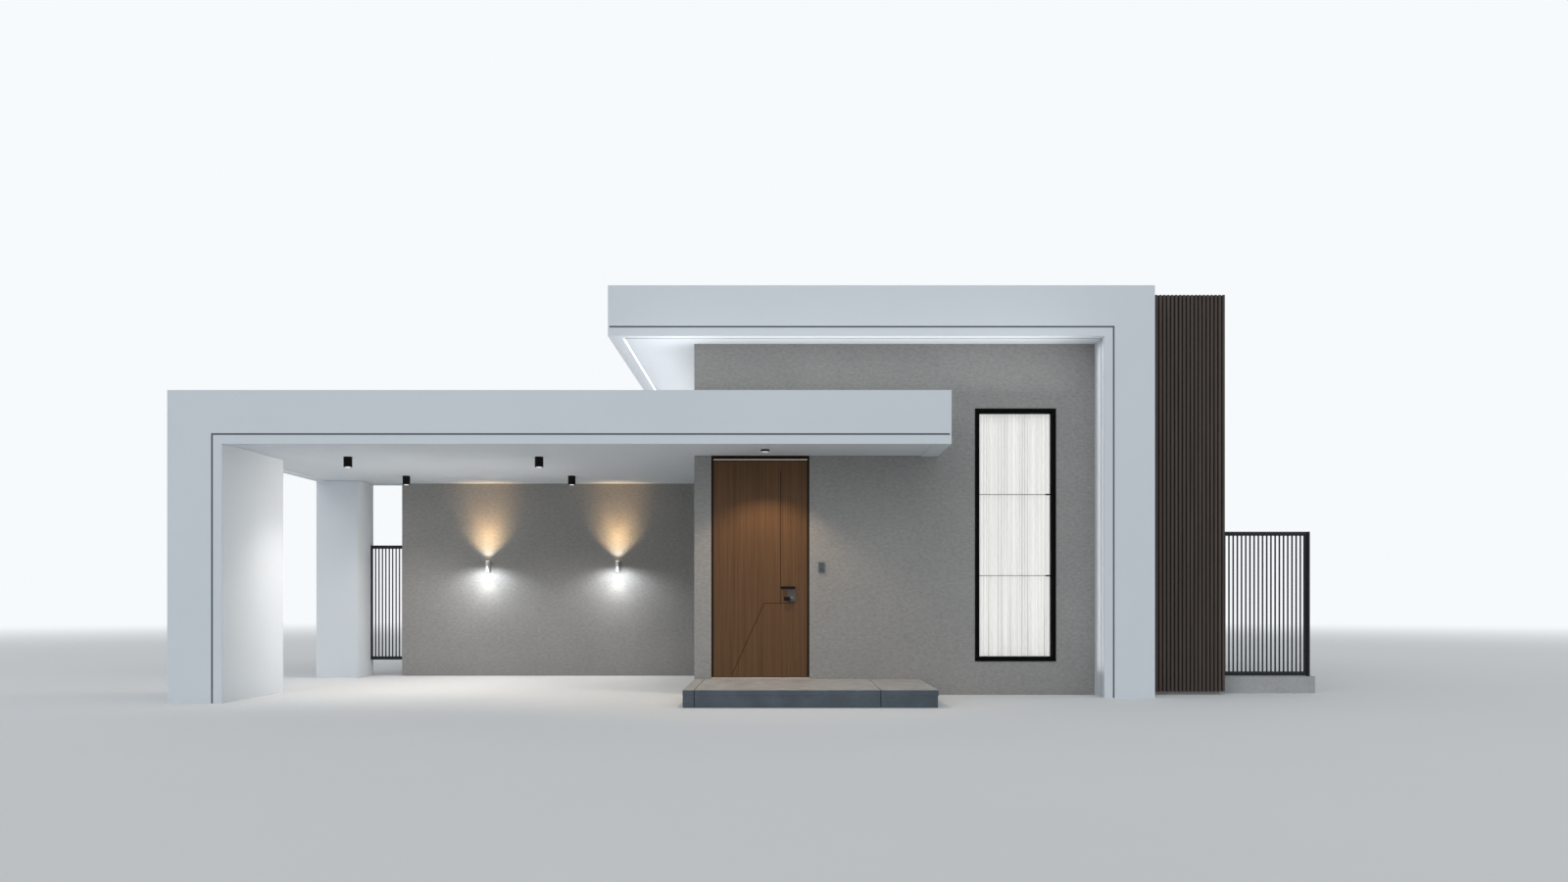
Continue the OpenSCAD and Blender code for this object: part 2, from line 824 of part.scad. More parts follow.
module porch_light() {
    rim = 6;
    dome_dia = porch_light_dia - 2 * rim;
    color("#101012") site()
        translate([pier_w + porch_light_x, -porch_d / 2, low_ceiling_z - porch_light_h]) {
            cylinder(d = porch_light_dia, h = porch_light_h);
            translate([0, 0, -porch_dome_h])
                cylinder(d1 = dome_dia / 2, d2 = dome_dia, h = porch_dome_h);
        }
}

module wall_lights() {
    bracket_w = 40;
    wall_y = carport_rear_y - wall_t;
    body_y = wall_y - wall_light_off - wall_light_dia / 2;
    z = wall_light_z - wall_light_h / 2;
    color("#8a8c90") site() for (i = [0, 1]) {
        x = -wall_light_x_near - i * wall_light_step;
        translate([x, body_y, z]) cylinder(d = wall_light_dia, h = wall_light_h);
        block([x - bracket_w / 2, body_y, wall_light_z - bracket_w],
              [x + bracket_w / 2, wall_y, wall_light_z + bracket_w]);
    }
}

module bar_screen() {
    color("#2b2e33") site()
        translate([-bay_w, carport_rear_y - wall_t / 2, screen_bottom_z])
        barred_panel(side_gap_w, screen_top_z - screen_bottom_z);
}

module gate_kerb() {
    middle_y = gate_rear_y - post_d / 2;
    color("#8b8d8d") site()
        block([house_right_x, middle_y - kerb_d / 2, 0],
              [gate_right_x, middle_y + kerb_d / 2, kerb_h]);
}

module gate_posts() {
    color("#2b2e33") site() {
        for (x = gate_posts_x) {
            block([x, gate_set, kerb_h], [x + stile_w, gate_rear_y, gate_top_z]);
        }
        for (z = gate_hinge_levels) {
            translate([gate_pin_x, gate_pin_y, z]) hinge_fixed(stile_w);
        }
    }
}

module gate_leaf() {
    color("#2b2e33") site() {
        translate([gate_leaf_x, gate_rear_y - gate_d / 2, gate_bottom_z])
            barred_panel(gate_leaf_end_x - gate_leaf_x, gate_top_z - gate_bottom_z);
        for (z = gate_hinge_levels) {
            translate([gate_pin_x, gate_pin_y, z]) hinge_moving(stile_w);
        }
    }
}

carport_leg();
rear_column();
carport_roof();
carport_back_wall();
porch_canopy();
wing_side_wall();
wing_rear_wall();
wing_roof();
wing_floor();
entrance_pier();
front_wall_over_door();
front_wall();
left_wall();
upper_side_wall();
right_wall();
rear_wall();
corner_wall();
house_floor();
slat_cladding_front();
slat_cladding_side();
tall_leg();
upper_canopy();
high_roof();
door_threshold();
door_jambs();
door_head();
door_leaf();
door_hinges();
door_hinge_straps();
door_handle();
door_lock();
door_panel();
window_frames();
window_panes();
curtain();
curtain_rail();
step_plinth();
step_slabs();
ceiling_spots();
porch_light();
wall_lights();
bar_screen();
gate_kerb();
gate_posts();
gate_leaf();
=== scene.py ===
import json
import math

import bpy
import numpy as np
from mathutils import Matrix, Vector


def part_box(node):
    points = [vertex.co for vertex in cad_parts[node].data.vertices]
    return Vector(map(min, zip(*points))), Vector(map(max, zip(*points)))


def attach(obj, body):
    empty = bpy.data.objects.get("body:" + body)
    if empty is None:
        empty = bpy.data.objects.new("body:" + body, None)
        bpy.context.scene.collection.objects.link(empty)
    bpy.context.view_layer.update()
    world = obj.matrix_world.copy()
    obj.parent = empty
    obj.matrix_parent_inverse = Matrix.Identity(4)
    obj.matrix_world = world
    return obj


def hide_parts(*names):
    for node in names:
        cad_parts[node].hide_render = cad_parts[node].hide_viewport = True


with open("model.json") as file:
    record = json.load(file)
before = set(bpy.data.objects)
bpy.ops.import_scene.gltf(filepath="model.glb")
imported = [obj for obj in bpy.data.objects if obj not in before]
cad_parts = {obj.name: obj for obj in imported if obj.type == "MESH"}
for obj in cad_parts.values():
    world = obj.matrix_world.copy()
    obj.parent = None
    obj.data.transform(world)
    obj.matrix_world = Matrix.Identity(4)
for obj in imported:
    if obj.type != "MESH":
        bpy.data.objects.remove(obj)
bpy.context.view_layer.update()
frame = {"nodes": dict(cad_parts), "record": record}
nodes = frame["nodes"]
scene = bpy.context.scene
scene.view_settings.view_transform = "Standard"
print("house frame loaded:", len(nodes), "solids")

# Camera: level, in front of the house, shifted up to show the roofs
view = {"place": (0.1235, -18.81, 1.13), "lens": 30.0, "sensor": 36.0, "shiftX": 0.0016, "shiftY": 0.1,
        "farEnd": 500.0}
cameraData = bpy.data.cameras.new("streetCamera")
cameraData.lens = view["lens"]
cameraData.sensor_width = view["sensor"]
cameraData.shift_x = view["shiftX"]
cameraData.shift_y = view["shiftY"]
cameraData.clip_end = view["farEnd"]
camera = bpy.data.objects.new("streetCamera", cameraData)
camera.location = view["place"]
camera.rotation_euler = (math.pi / 2, 0.0, 0.0)
scene.collection.objects.link(camera)
scene.camera = camera


# Shapes

def addMesh(name, points, faces, material, smooth=False):
    # Puts worked-out points and faces into a mesh and gives it its finish
    mesh = bpy.data.meshes.new(name)
    mesh.from_pydata(np.asarray(points, float).tolist(), [], [list(f) for f in faces])
    mesh.validate()
    mesh.polygons.foreach_set("use_smooth", np.full(len(mesh.polygons), smooth))
    mesh.materials.append(material)
    thing = bpy.data.objects.new(name, mesh)
    scene.collection.objects.link(thing)
    return thing


def makePiece(name, points, faces, slot, material=None, body="root", smooth=False):
    # A piece of the house: its slot, the slot's finish or one of its own, and the body that it rides on
    piece = addMesh(name, points, faces, material or finishes[slot], smooth)
    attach(piece, body)
    return piece


def gridFaces(rows, columns, closed=False):
    # Corner numbers of a grid of points: each face joins a point to its neighbours in the next row and column
    across = columns if closed else columns - 1
    r, c = np.meshgrid(np.arange(rows - 1), np.arange(across), indexing="ij")
    n = (c + 1) % columns
    return np.stack([r * columns + c, r * columns + n, (r + 1) * columns + n, (r + 1) * columns + c],
                    axis=-1).reshape(-1, 4)


def blockTemplate():
    # A block whose edges are planed: each of its 8 corners is three points, one for each axis.
    # Four points of one axis make a side, two pairs make a planed edge, the three make a corner.
    signs = np.array([(x, y, z) for x in (-1, 1) for y in (-1, 1) for z in (-1, 1)], float)
    faces = []
    for axis in range(3):
        others = [a for a in range(3) if a != axis]
        for side in (-1, 1):
            ring = [c for c in range(8) if signs[c, axis] == side]
            ring.sort(key=lambda c: math.atan2(signs[c, others[1]], signs[c, others[0]]))
            faces.append([c * 3 + axis for c in ring])
        for a in (-1, 1):
            for b in (-1, 1):
                pair = [c for c in range(8) if signs[c, others[0]] == a and signs[c, others[1]] == b]
                faces.append([pair[0] * 3 + others[0], pair[1] * 3 + others[0],
                              pair[1] * 3 + others[1], pair[0] * 3 + others[1]])
    faces += [[c * 3, c * 3 + 1, c * 3 + 2] for c in range(8)]
    # A trial block, whose edges are planed by a fifth, shows which faces have to be turned outwards
    trial = (signs[:, None, :] * (1 - 0.2 * (1 - np.eye(3)))[None]).reshape(-1, 3)
    turned = []
    for face in faces:
        p = trial[face]
        outward = np.cross(p[1] - p[0], p[2] - p[0]) @ p.mean(0)
        turned.append(face if outward > 0 else face[::-1])
    return signs, turned


blockSigns, blockFaces = blockTemplate()


def easedBlocks(lows, highs, ease):
    # Blocks from corner to corner: a point is middle + sign * half size, drawn in by the ease along two axes
    lows, highs = np.atleast_2d(lows).astype(float), np.atleast_2d(highs).astype(float)
    middle, half = (lows + highs) / 2, (highs - lows) / 2
    reach = half[:, None, None, :] - ease * (1 - np.eye(3))[None, None]
    points = middle[:, None, None, :] + blockSigns[None, :, None, :] * reach
    faces = [[corner + 24 * i for corner in face] for i in range(len(lows)) for face in blockFaces]
    return points.reshape(-1, 3), faces


def turnedShell(profile, middle, steps=40):
    # A turned shape about an upright axis: point (r, h) of the profile goes to (r cos a, r sin a, h) for
    # equal steps of the angle a. A row of radius 0 becomes one pole point, and a profile that ends where it
    # began is a ring, whose last row is its first one
    r, h = np.asarray(profile, float).T[:, :, None]
    angle = np.arange(steps) * 2 * math.pi / steps
    points = np.stack(np.broadcast_arrays(r * np.cos(angle), r * np.sin(angle), h), axis=-1).reshape(-1, 3)
    number = np.arange(len(points)).reshape(len(r), steps)
    if profile[0] == profile[-1]:
        number[-1] = number[0]
    number = np.where(r > 1e-9, number, number[:, :1]).ravel()
    kept, faces = np.unique(number[gridFaces(len(r), steps, closed=True)], return_inverse=True)
    points = points[kept] + np.asarray(middle, float)
    return points, [list(dict.fromkeys(f)) for f in faces.reshape(-1, 4).tolist()]


def laidTurned(profile, place, side, steps):
    # A turned shape laid on its side: its axis runs along Y, and what was its top looks along side * Y. Point
    # (x, y, z) goes to (-side x, side z, y), which keeps the faces outwards
    points, faces = turnedShell(profile, (0, 0, 0), steps)
    laid = np.stack([-side * points[:, 0], side * points[:, 2], points[:, 1]], axis=-1)
    return laid + np.asarray(place, float), faces


def carried(profile, path, out):
    # A closed profile carried along straight runs with mitred corners. A profile point (a, d) goes to
    # corner + a * mitre + d * out; the mitre of two runs with sideways directions s and t is
    # (s + t) / (1 + s . t), and at an end it is s alone. The profile runs anticlockwise in (a, d).
    profile, path, out = (np.asarray(v, float) for v in (profile, path, out))
    runs = np.diff(path, axis=0)
    side = np.cross(runs / np.linalg.norm(runs, axis=1, keepdims=True), out)
    before, after = np.vstack([side[:1], side]), np.vstack([side, side[-1:]])
    mitre = (before + after) / (1 + (before * after).sum(1, keepdims=True))
    points = path[:, None] + profile[None, :, :1] * mitre[:, None] + profile[None, :, 1:] * out
    count, total = len(profile), len(profile) * len(path)
    walls = gridFaces(len(path), count, closed=True)[:, ::-1].tolist()
    return points.reshape(-1, 3), walls + [list(range(count)), list(range(total - count, total))[::-1]]


def channel(wide, deep, wall, lip=0.0):
    # A U-shaped profile of (across, depth) points, anticlockwise: its base is deep below the face, and its
    # rims are at lip
    w, t = wide / 2, wall
    return [(-w, lip), (-w, -deep), (w, -deep), (w, lip), (w - t, lip), (w - t, t - deep), (t - w, t - deep),
            (t - w, lip)]


def joined(parts):
    # Several (points, faces) pairs as one, with the corner numbers moved on
    points, faces, start = [], [], 0
    for p, f in parts:
        points.append(p)
        faces += [[corner + start for corner in face] for face in f]
        start += len(p)
    return np.concatenate(points), faces


def solidBoxes(node):
    # Lowest and highest corner of each separate solid of a node: points that share a triangle
    # take the lowest label among them until nothing changes
    mesh = nodes[node].data
    co = np.zeros(len(mesh.vertices) * 3)
    mesh.vertices.foreach_get("co", co)
    mesh.calc_loop_triangles()
    corner = np.zeros(len(mesh.loop_triangles) * 3, int)
    mesh.loop_triangles.foreach_get("vertices", corner)
    spots, back = np.unique(np.round(co.reshape(-1, 3), 5), axis=0, return_inverse=True)
    corner = back.reshape(-1)[corner].reshape(-1, 3)
    label = np.arange(len(spots))
    while True:
        low = label[corner].min(1)
        new = label.copy()
        for k in range(3):
            np.minimum.at(new, corner[:, k], low)
        if (new == label).all():
            break
        label = new
    return [(spots[label == s].min(0), spots[label == s].max(0)) for s in np.unique(label)]


def underMiddle(low, high, drop=0.0):
    # The middle of a box's lower face, or the point that lies drop below it
    return (low[0] + high[0]) / 2, (low[1] + high[1]) / 2, low[2] - drop


# Finishes

def put(tree, kind, inputs=None, **settings):
    # Adds a node; each input is a value or the socket that feeds it
    node = tree.nodes.new(kind)
    for key, value in settings.items():
        setattr(node, key, value)
    for key, value in (inputs or {}).items():
        if isinstance(value, bpy.types.NodeSocket):
            tree.links.new(value, node.inputs[key])
        else:
            node.inputs[key].default_value = value
    return node


def calc(tree, operation, *values):
    # One step of arithmetic
    return put(tree, "ShaderNodeMath", dict(enumerate(values)), operation=operation).outputs[0]


def mixColour(tree, share, first, second, blend="MIX"):
    # first * (1 - share) + second * share, or another kind of blend
    node = put(tree, "ShaderNodeMix", {0: share, 6: first, 7: second}, data_type="RGBA", blend_type=blend)
    return node.outputs[2]


def noise(tree, vector, scale, detail=3.0, roughness=0.55):
    return put(tree, "ShaderNodeTexNoise", {"Vector": vector, "Scale": scale, "Detail": detail,
                                            "Roughness": roughness}).outputs[0]


def stretch(tree, vector, amount):
    # Each axis times its own amount
    return put(tree, "ShaderNodeVectorMath", {0: vector, 1: amount}, operation="MULTIPLY").outputs[0]


def newGroup(name, numbers, results):
    # A shader group that takes a Vector and named numbers, and puts out named results. Returns its tree, its
    # inputs and its output node
    tree = bpy.data.node_groups.new(name, "ShaderNodeTree")
    tree.interface.new_socket(name="Vector", in_out="INPUT", socket_type="NodeSocketVector")
    for label, value in numbers.items():
        socket = tree.interface.new_socket(name=label, in_out="INPUT", socket_type="NodeSocketFloat")
        socket.default_value = value
    for label in results:
        tree.interface.new_socket(name=label, in_out="OUTPUT", socket_type="NodeSocketFloat")
    return tree, tree.nodes.new("NodeGroupInput").outputs, tree.nodes.new("NodeGroupOutput")


def feed(tree, end, values):
    # Links the results to the sockets of the group's output node, in their order
    for value, socket in zip(values, end.inputs):
        tree.links.new(value, socket)
    return tree


def gradedNoise(tree, vector, scale, detail, roughness=0.55):
    # Noise spread to the full range 0 to 1, as (noise - 0.3) / 0.4
    value = noise(tree, vector, scale, detail, roughness)
    return put(tree, "ShaderNodeMapRange", {"Value": value, "From Min": 0.3, "From Max": 0.7}).outputs[0]


def makeTrowelGroup():
    # Trowelled render: level drags of the float, clouds of uneven drying and sand grain
    tree, start, end = newGroup("trowelMarks", {"Drag Scale": 26.0, "Cloud Scale": 1.1, "Grain Scale": 240.0},
                                ("Drags", "Clouds", "Height"))
    flat = stretch(tree, start["Vector"], (1.0, 1.0, 1.8))
    drags = gradedNoise(tree, flat, start["Drag Scale"], detail=4.0, roughness=0.62)
    clouds = gradedNoise(tree, start["Vector"], start["Cloud Scale"], detail=4.0, roughness=0.6)
    grain = noise(tree, start["Vector"], start["Grain Scale"], detail=2.0)
    height = calc(tree, "ADD", drags, calc(tree, "MULTIPLY", grain, 0.5))
    return feed(tree, end, (drags, clouds, height))


def makeGrainGroup():
    # Straight wood grain that runs up: fine pores and wider bands across, long waves up
    tree, start, end = newGroup("straightGrain", {"Fibre Scale": 260.0, "Band Scale": 34.0, "Length": 0.02},
                                ("Fibres", "Bands", "Height"))
    squeeze = put(tree, "ShaderNodeCombineXYZ", {0: 1.0, 1: 1.0, 2: start["Length"]}).outputs[0]
    along = stretch(tree, start["Vector"], squeeze)
    fibres = gradedNoise(tree, along, start["Fibre Scale"], detail=3.0, roughness=0.6)
    bands = gradedNoise(tree, along, start["Band Scale"], detail=2.0, roughness=0.5)
    return feed(tree, end, (fibres, bands, fibres))


def makeGroundGroup():
    # Dust and splash near the ground, with a ragged upper edge: max(0, 1 - (z + ragged * wave) / reach)^1.5
    tree, start, end = newGroup("groundSplash", {"Reach": 0.35, "Ragged": 0.25}, ("Mask",))
    height = put(tree, "ShaderNodeSeparateXYZ", {0: start["Vector"]}).outputs[2]
    wave = noise(tree, start["Vector"], scale=5.0, detail=5.0, roughness=0.65)
    shifted = calc(tree, "ADD", height, calc(tree, "MULTIPLY", wave, start["Ragged"]))
    fade = calc(tree, "SUBTRACT", 1.0, calc(tree, "DIVIDE", shifted, start["Reach"]))
    mask = calc(tree, "POWER", calc(tree, "MAXIMUM", fade, 0.0), 1.5)
    return feed(tree, end, (mask,))


def makeStoneGroup():
    # Honed stone or concrete: soft clouds, mineral specks and shallow pits
    tree, start, end = newGroup("mineralSpecks", {"Cloud Scale": 2.4, "Speck Scale": 120.0},
                                ("Clouds", "Specks", "Height"))
    clouds = gradedNoise(tree, start["Vector"], start["Cloud Scale"], detail=6.0, roughness=0.62)
    specks = gradedNoise(tree, start["Vector"], start["Speck Scale"], detail=2.0, roughness=0.7)
    pits = put(tree, "ShaderNodeTexVoronoi", {"Vector": start["Vector"], "Scale": start["Speck Scale"]})
    height = calc(tree, "MULTIPLY", calc(tree, "MINIMUM", pits.outputs["Distance"], 0.25), 4.0)
    return feed(tree, end, (clouds, specks, height))


def makeMetalGroup():
    # Coated or brushed metal: fine peel, long brush lines and rubbed patches
    tree, start, end = newGroup("metalSkin", {"Peel Scale": 500.0, "Patch Scale": 6.0},
                                ("Patches", "Lines", "Height"))
    patches = gradedNoise(tree, start["Vector"], start["Patch Scale"], detail=5.0, roughness=0.6)
    level = stretch(tree, start["Vector"], (0.04, 0.04, 1.0))
    lines = gradedNoise(tree, level, start["Peel Scale"], detail=2.0)
    peel = noise(tree, start["Vector"], start["Peel Scale"], detail=1.0)
    return feed(tree, end, (patches, lines, peel))


groups = {"trowel": makeTrowelGroup(), "grain": makeGrainGroup(), "ground": makeGroundGroup(),
          "stone": makeStoneGroup(), "metal": makeMetalGroup()}


def newFinish(name, sockets=None):
    # A node material with its shader; plain values go on the shader's own sockets
    material = bpy.data.materials.new(name)
    material.use_nodes = True
    tree = material.node_tree
    tree.nodes.clear()
    shader = put(tree, "ShaderNodeBsdfPrincipled", sockets)
    put(tree, "ShaderNodeOutputMaterial", {0: shader.outputs[0]})
    place = tree.nodes.new("ShaderNodeTexCoord").outputs["Object"]
    return material, tree, shader, place


def useGroup(tree, key, inputs):
    return put(tree, "ShaderNodeGroup", inputs, node_tree=groups[key]).outputs


def span(tree, value, low, high):
    # A mask of 0 to 1 turned into low + mask * (high - low)
    return put(tree, "ShaderNodeMapRange", {"Value": value, "To Min": low, "To Max": high}).outputs[0]


def tint(tree, colour, mask, low, high):
    # The colour times a value from low to high
    grey = span(tree, mask, low, high)
    shade = put(tree, "ShaderNodeCombineColor", {0: grey, 1: grey, 2: grey}).outputs[0]
    return mixColour(tree, 1.0, colour, shade, "MULTIPLY")


def vary(tree, colour, mask, share):
    # The colour made darker and lighter by up to a share of itself, from 1 - share to 1 + share
    return tint(tree, colour, mask, 1 - share, 1 + share)


def bump(tree, shader, height, strength, depth):
    node = put(tree, "ShaderNodeBump", {"Height": height, "Strength": strength, "Distance": depth})
    tree.links.new(node.outputs[0], shader.inputs["Normal"])


finishes = {}  # The finish of each slot


def dress(tree, shader, look, colour, mask, height, depth):
    # Gives the shader its colour, its roughness from a mask, and its bump from a height
    tree.links.new(colour, shader.inputs["Base Color"])
    tree.links.new(span(tree, mask, *look["roughness"]), shader.inputs["Roughness"])
    bump(tree, shader, height, look["bump"], depth)


def makeRender(name, look):
    # Painted or raw wall render: colour with drags, clouds and a splash zone at the ground
    material, tree, shader, place = newFinish(name)
    marks = useGroup(tree, "trowel", {"Vector": place, "Drag Scale": look["dragScale"],
                                      "Cloud Scale": look["cloudScale"]})
    splash = useGroup(tree, "ground", {"Vector": place, "Reach": look["splashReach"]})
    colour = vary(tree, (*look["colour"], 1), marks["Drags"], look["drag"])
    colour = vary(tree, colour, marks["Clouds"], look["cloud"])
    share = calc(tree, "MULTIPLY", splash["Mask"], look["splash"])
    colour = mixColour(tree, share, colour, (*look["dust"], 1))
    dress(tree, shader, look, colour, marks["Drags"], marks["Height"], look["bumpDepth"])
    return material


finishes["white_render"] = makeRender("whiteRender", {
    "colour": (0.600, 0.642, 0.682), "dragScale": 40.0, "drag": 0.010, "cloudScale": 0.7, "cloud": 0.014,
    "splashReach": 0.30, "splash": 0.22, "dust": (0.42, 0.40, 0.37), "roughness": (0.62, 0.74),
    "bump": 0.12, "bumpDepth": 0.0008})
finishes["grey_plaster"] = makeRender("greyPlaster", {
    "colour": (0.262, 0.257, 0.250), "dragScale": 22.0, "drag": 0.15, "cloudScale": 1.2, "cloud": 0.05,
    "splashReach": 0.45, "splash": 0.30, "dust": (0.17, 0.155, 0.14), "roughness": (0.72, 0.88),
    "bump": 0.35, "bumpDepth": 0.002})
finishes["floor_screed"] = makeRender("floorScreed", {
    "colour": (0.42, 0.40, 0.37), "dragScale": 9.0, "drag": 0.06, "cloudScale": 0.8, "cloud": 0.08,
    "splashReach": 0.01, "splash": 0.0, "dust": (0.3, 0.28, 0.26), "roughness": (0.45, 0.62),
    "bump": 0.15, "bumpDepth": 0.001})


def makeWood(name, look):
    # Straight-grained wood in boards that differ in tone. A board's number comes from x + skew * y, so that
    # boards that face the front and boards that face the side are both told apart
    material, tree, shader, place = newFinish(name, {"Specular IOR Level": look["gloss"]})
    grain = useGroup(tree, "grain", {"Vector": place, "Fibre Scale": look["fibreScale"],
                                     "Band Scale": look["bandScale"], "Length": look["length"]})
    colour = mixColour(tree, grain["Bands"], (*look["dark"], 1), (*look["light"], 1))
    colour = vary(tree, colour, grain["Fibres"], look["fibre"])
    axes = put(tree, "ShaderNodeSeparateXYZ", {0: place}).outputs
    along = calc(tree, "ADD", axes[0], calc(tree, "MULTIPLY", axes[1], look["skew"]))
    number = calc(tree, "FLOOR", calc(tree, "DIVIDE", along, look["board"]))
    pick = put(tree, "ShaderNodeTexWhiteNoise", {"W": number}, noise_dimensions="1D").outputs["Value"]
    colour = vary(tree, colour, pick, look["boardTone"])
    dress(tree, shader, look, colour, grain["Fibres"], grain["Height"], depth=0.0006)
    return material


finishes["door_wood"] = makeWood("doorWood", {
    "dark": (0.078, 0.036, 0.014), "light": (0.120, 0.060, 0.024), "fibreScale": 360.0, "bandScale": 88.0,
    "length": 0.010, "fibre": 0.14, "gloss": 0.25, "roughness": (0.46, 0.62), "bump": 0.18,
    "board": 0.137, "boardTone": 0.07, "skew": 1.618})
finishes["slat_wood"] = makeWood("slatWood", {
    "dark": (0.040, 0.030, 0.024), "light": (0.074, 0.055, 0.045), "fibreScale": 420.0, "bandScale": 60.0,
    "length": 0.015, "fibre": 0.16, "gloss": 0.35, "roughness": (0.5, 0.66), "bump": 0.25,
    "board": 0.046, "boardTone": 0.10, "skew": 1.618})


def makeStone(name, look):
    # Honed stone or plain concrete with clouds, specks and shallow pits. Where the look gives a side colour,
    # faces that don't look up are multiplied by it: painted shade that makes the sides darker and bluer than
    # the top
    material, tree, shader, place = newFinish(name)
    mineral = useGroup(tree, "stone", {"Vector": place, "Cloud Scale": look["cloudScale"],
                                       "Speck Scale": look["speckScale"]})
    colour = mixColour(tree, mineral["Clouds"], (*look["dark"], 1), (*look["light"], 1))
    colour = vary(tree, colour, mineral["Specks"], look["speck"])
    if "side" in look:
        # Painted shade: faces that don't look up take the side colour, darker and bluer, as if lit less than
        # the top
        normal = tree.nodes.new("ShaderNodeNewGeometry").outputs["Normal"]
        upward = put(tree, "ShaderNodeSeparateXYZ", {0: normal}).outputs[2]
        top = put(tree, "ShaderNodeMapRange", {"Value": upward, "From Min": 0.3, "From Max": 0.9}).outputs[0]
        shadedSides = mixColour(tree, 1.0, colour, (*look["side"], 1), "MULTIPLY")
        colour = mixColour(tree, top, shadedSides, colour)
    dress(tree, shader, look, colour, mineral["Clouds"], mineral["Height"], depth=0.0008)
    return material


# The step's side colour is painted shade on its upright faces
finishes["step_stone"] = makeStone("stepStone", {
    "dark": (0.270, 0.262, 0.254), "light": (0.490, 0.478, 0.467), "side": (0.130, 0.180, 0.235),
    "cloudScale": 5.0, "speckScale": 150.0, "speck": 0.16, "roughness": (0.42, 0.6), "bump": 0.2})
sillStone = makeStone("sillStone", {
    "dark": (0.38, 0.335, 0.29), "light": (0.47, 0.42, 0.37), "cloudScale": 4.0, "speckScale": 200.0,
    "speck": 0.06, "roughness": (0.35, 0.5), "bump": 0.1})
finishes["kerb_concrete"] = makeStone("kerbConcrete", {
    "dark": (0.29, 0.30, 0.30), "light": (0.38, 0.385, 0.385), "cloudScale": 1.8, "speckScale": 110.0,
    "speck": 0.16, "roughness": (0.75, 0.9), "bump": 0.45})
roofMembrane = makeStone("roofMembrane", {
    "dark": (0.60, 0.61, 0.61), "light": (0.70, 0.705, 0.70), "cloudScale": 1.2, "speckScale": 90.0,
    "speck": 0.08, "roughness": (0.7, 0.85), "bump": 0.25})


def makeMetal(name, look):
    # Coated or bare metal, rubber or plastic: rubbed patches or brush lines change the colour and the gloss
    material, tree, shader, place = newFinish(name, {"Metallic": look.get("metallic", 0.0),
                                                     "Specular IOR Level": look.get("gloss", 0.5)})
    skin = useGroup(tree, "metal", {"Vector": place, "Peel Scale": look["peelScale"]})
    mask = skin["Lines" if look.get("brushed") else "Patches"]
    colour = vary(tree, (*look["colour"], 1), mask, look["vary"])
    dress(tree, shader, look, colour, mask, skin["Height"], depth=0.0003)
    return material


finishes["window_aluminium"] = makeMetal("windowBlack", {
    "colour": (0.0025, 0.0027, 0.003), "vary": 0.2, "roughness": (0.5, 0.62), "peelScale": 700.0,
    "bump": 0.12, "gloss": 0.03})
finishes["door_frame_paint"] = makeMetal("framePaint", {
    "colour": (0.021, 0.0115, 0.0065), "vary": 0.15, "roughness": (0.5, 0.62), "peelScale": 600.0,
    "bump": 0.12, "gloss": 0.08})
finishes["gate_steel"] = makeMetal("gateSteel", {
    "colour": (0.016, 0.018, 0.022), "vary": 0.25, "roughness": (0.45, 0.62), "peelScale": 450.0, "bump": 0.2,
    "gloss": 0.2})
finishes["black_metal"] = makeMetal("blackMetal", {
    "colour": (0.0035, 0.0035, 0.004), "vary": 0.2, "roughness": (0.4, 0.54), "peelScale": 800.0, "bump": 0.1,
    "gloss": 0.12})
finishes["hinge_steel"] = makeMetal("hingeSteel", {
    "colour": (0.58, 0.58, 0.58), "vary": 0.08, "roughness": (0.25, 0.42), "peelScale": 900.0, "bump": 0.05,
    "metallic": 1.0, "brushed": True})
finishes["lock_metal"] = makeMetal("lockMetal", {
    "colour": (0.066, 0.060, 0.056), "vary": 0.12, "roughness": (0.36, 0.5), "peelScale": 900.0, "bump": 0.05,
    "metallic": 0.3, "brushed": True})
roseSteel = makeMetal("roseSteel", {
    "colour": (0.150, 0.148, 0.145), "vary": 0.08, "roughness": (0.3, 0.42), "peelScale": 900.0, "bump": 0.05,
    "metallic": 0.4, "brushed": True})
finishes["rail_aluminium"] = makeMetal("railAluminium", {
    "colour": (0.72, 0.72, 0.72), "vary": 0.06, "roughness": (0.3, 0.42), "peelScale": 900.0, "bump": 0.04,
    "metallic": 1.0, "brushed": True})
finishes["wall_light_metal"] = makeMetal("lampGrey", {
    "colour": (0.60, 0.60, 0.61), "vary": 0.08, "roughness": (0.32, 0.46), "peelScale": 700.0, "bump": 0.1,
    "metallic": 0.6})
finishes["panel_plastic"] = makeMetal("panelPlastic", {
    "colour": (0.052, 0.068, 0.084), "vary": 0.08, "roughness": (0.3, 0.42), "peelScale": 900.0,
    "bump": 0.08})
darkLens = makeMetal("darkLens", {
    "colour": (0.008, 0.010, 0.013), "vary": 0.1, "roughness": (0.08, 0.14), "peelScale": 900.0, "bump": 0.0,
    "gloss": 0.8})
sealRubber = makeMetal("sealRubber", {
    "colour": (0.014, 0.014, 0.014), "vary": 0.2, "roughness": (0.65, 0.8), "peelScale": 500.0, "bump": 0.15,
    "gloss": 0.3})
# Dark grey of the groove beads: painted shade in the white frames' grooves
grooveShadeBead = makeMetal("grooveShadeBead", {
    "colour": (0.160, 0.180, 0.205), "vary": 0.05, "roughness": (0.5, 0.65), "peelScale": 500.0, "bump": 0.08,
    "gloss": 0.3})
# Near-black of the door's groove strips: painted shade in the leaf's grooves
doorGrooveShade = makeMetal("doorGrooveShade", {
    "colour": (0.006, 0.005, 0.004), "vary": 0.15, "roughness": (0.55, 0.7), "peelScale": 700.0, "bump": 0.08,
    "gloss": 0.05})
paneSealant = makeMetal("paneSealant", {
    "colour": (0.28, 0.275, 0.265), "vary": 0.06, "roughness": (0.45, 0.6), "peelScale": 400.0, "bump": 0.1})


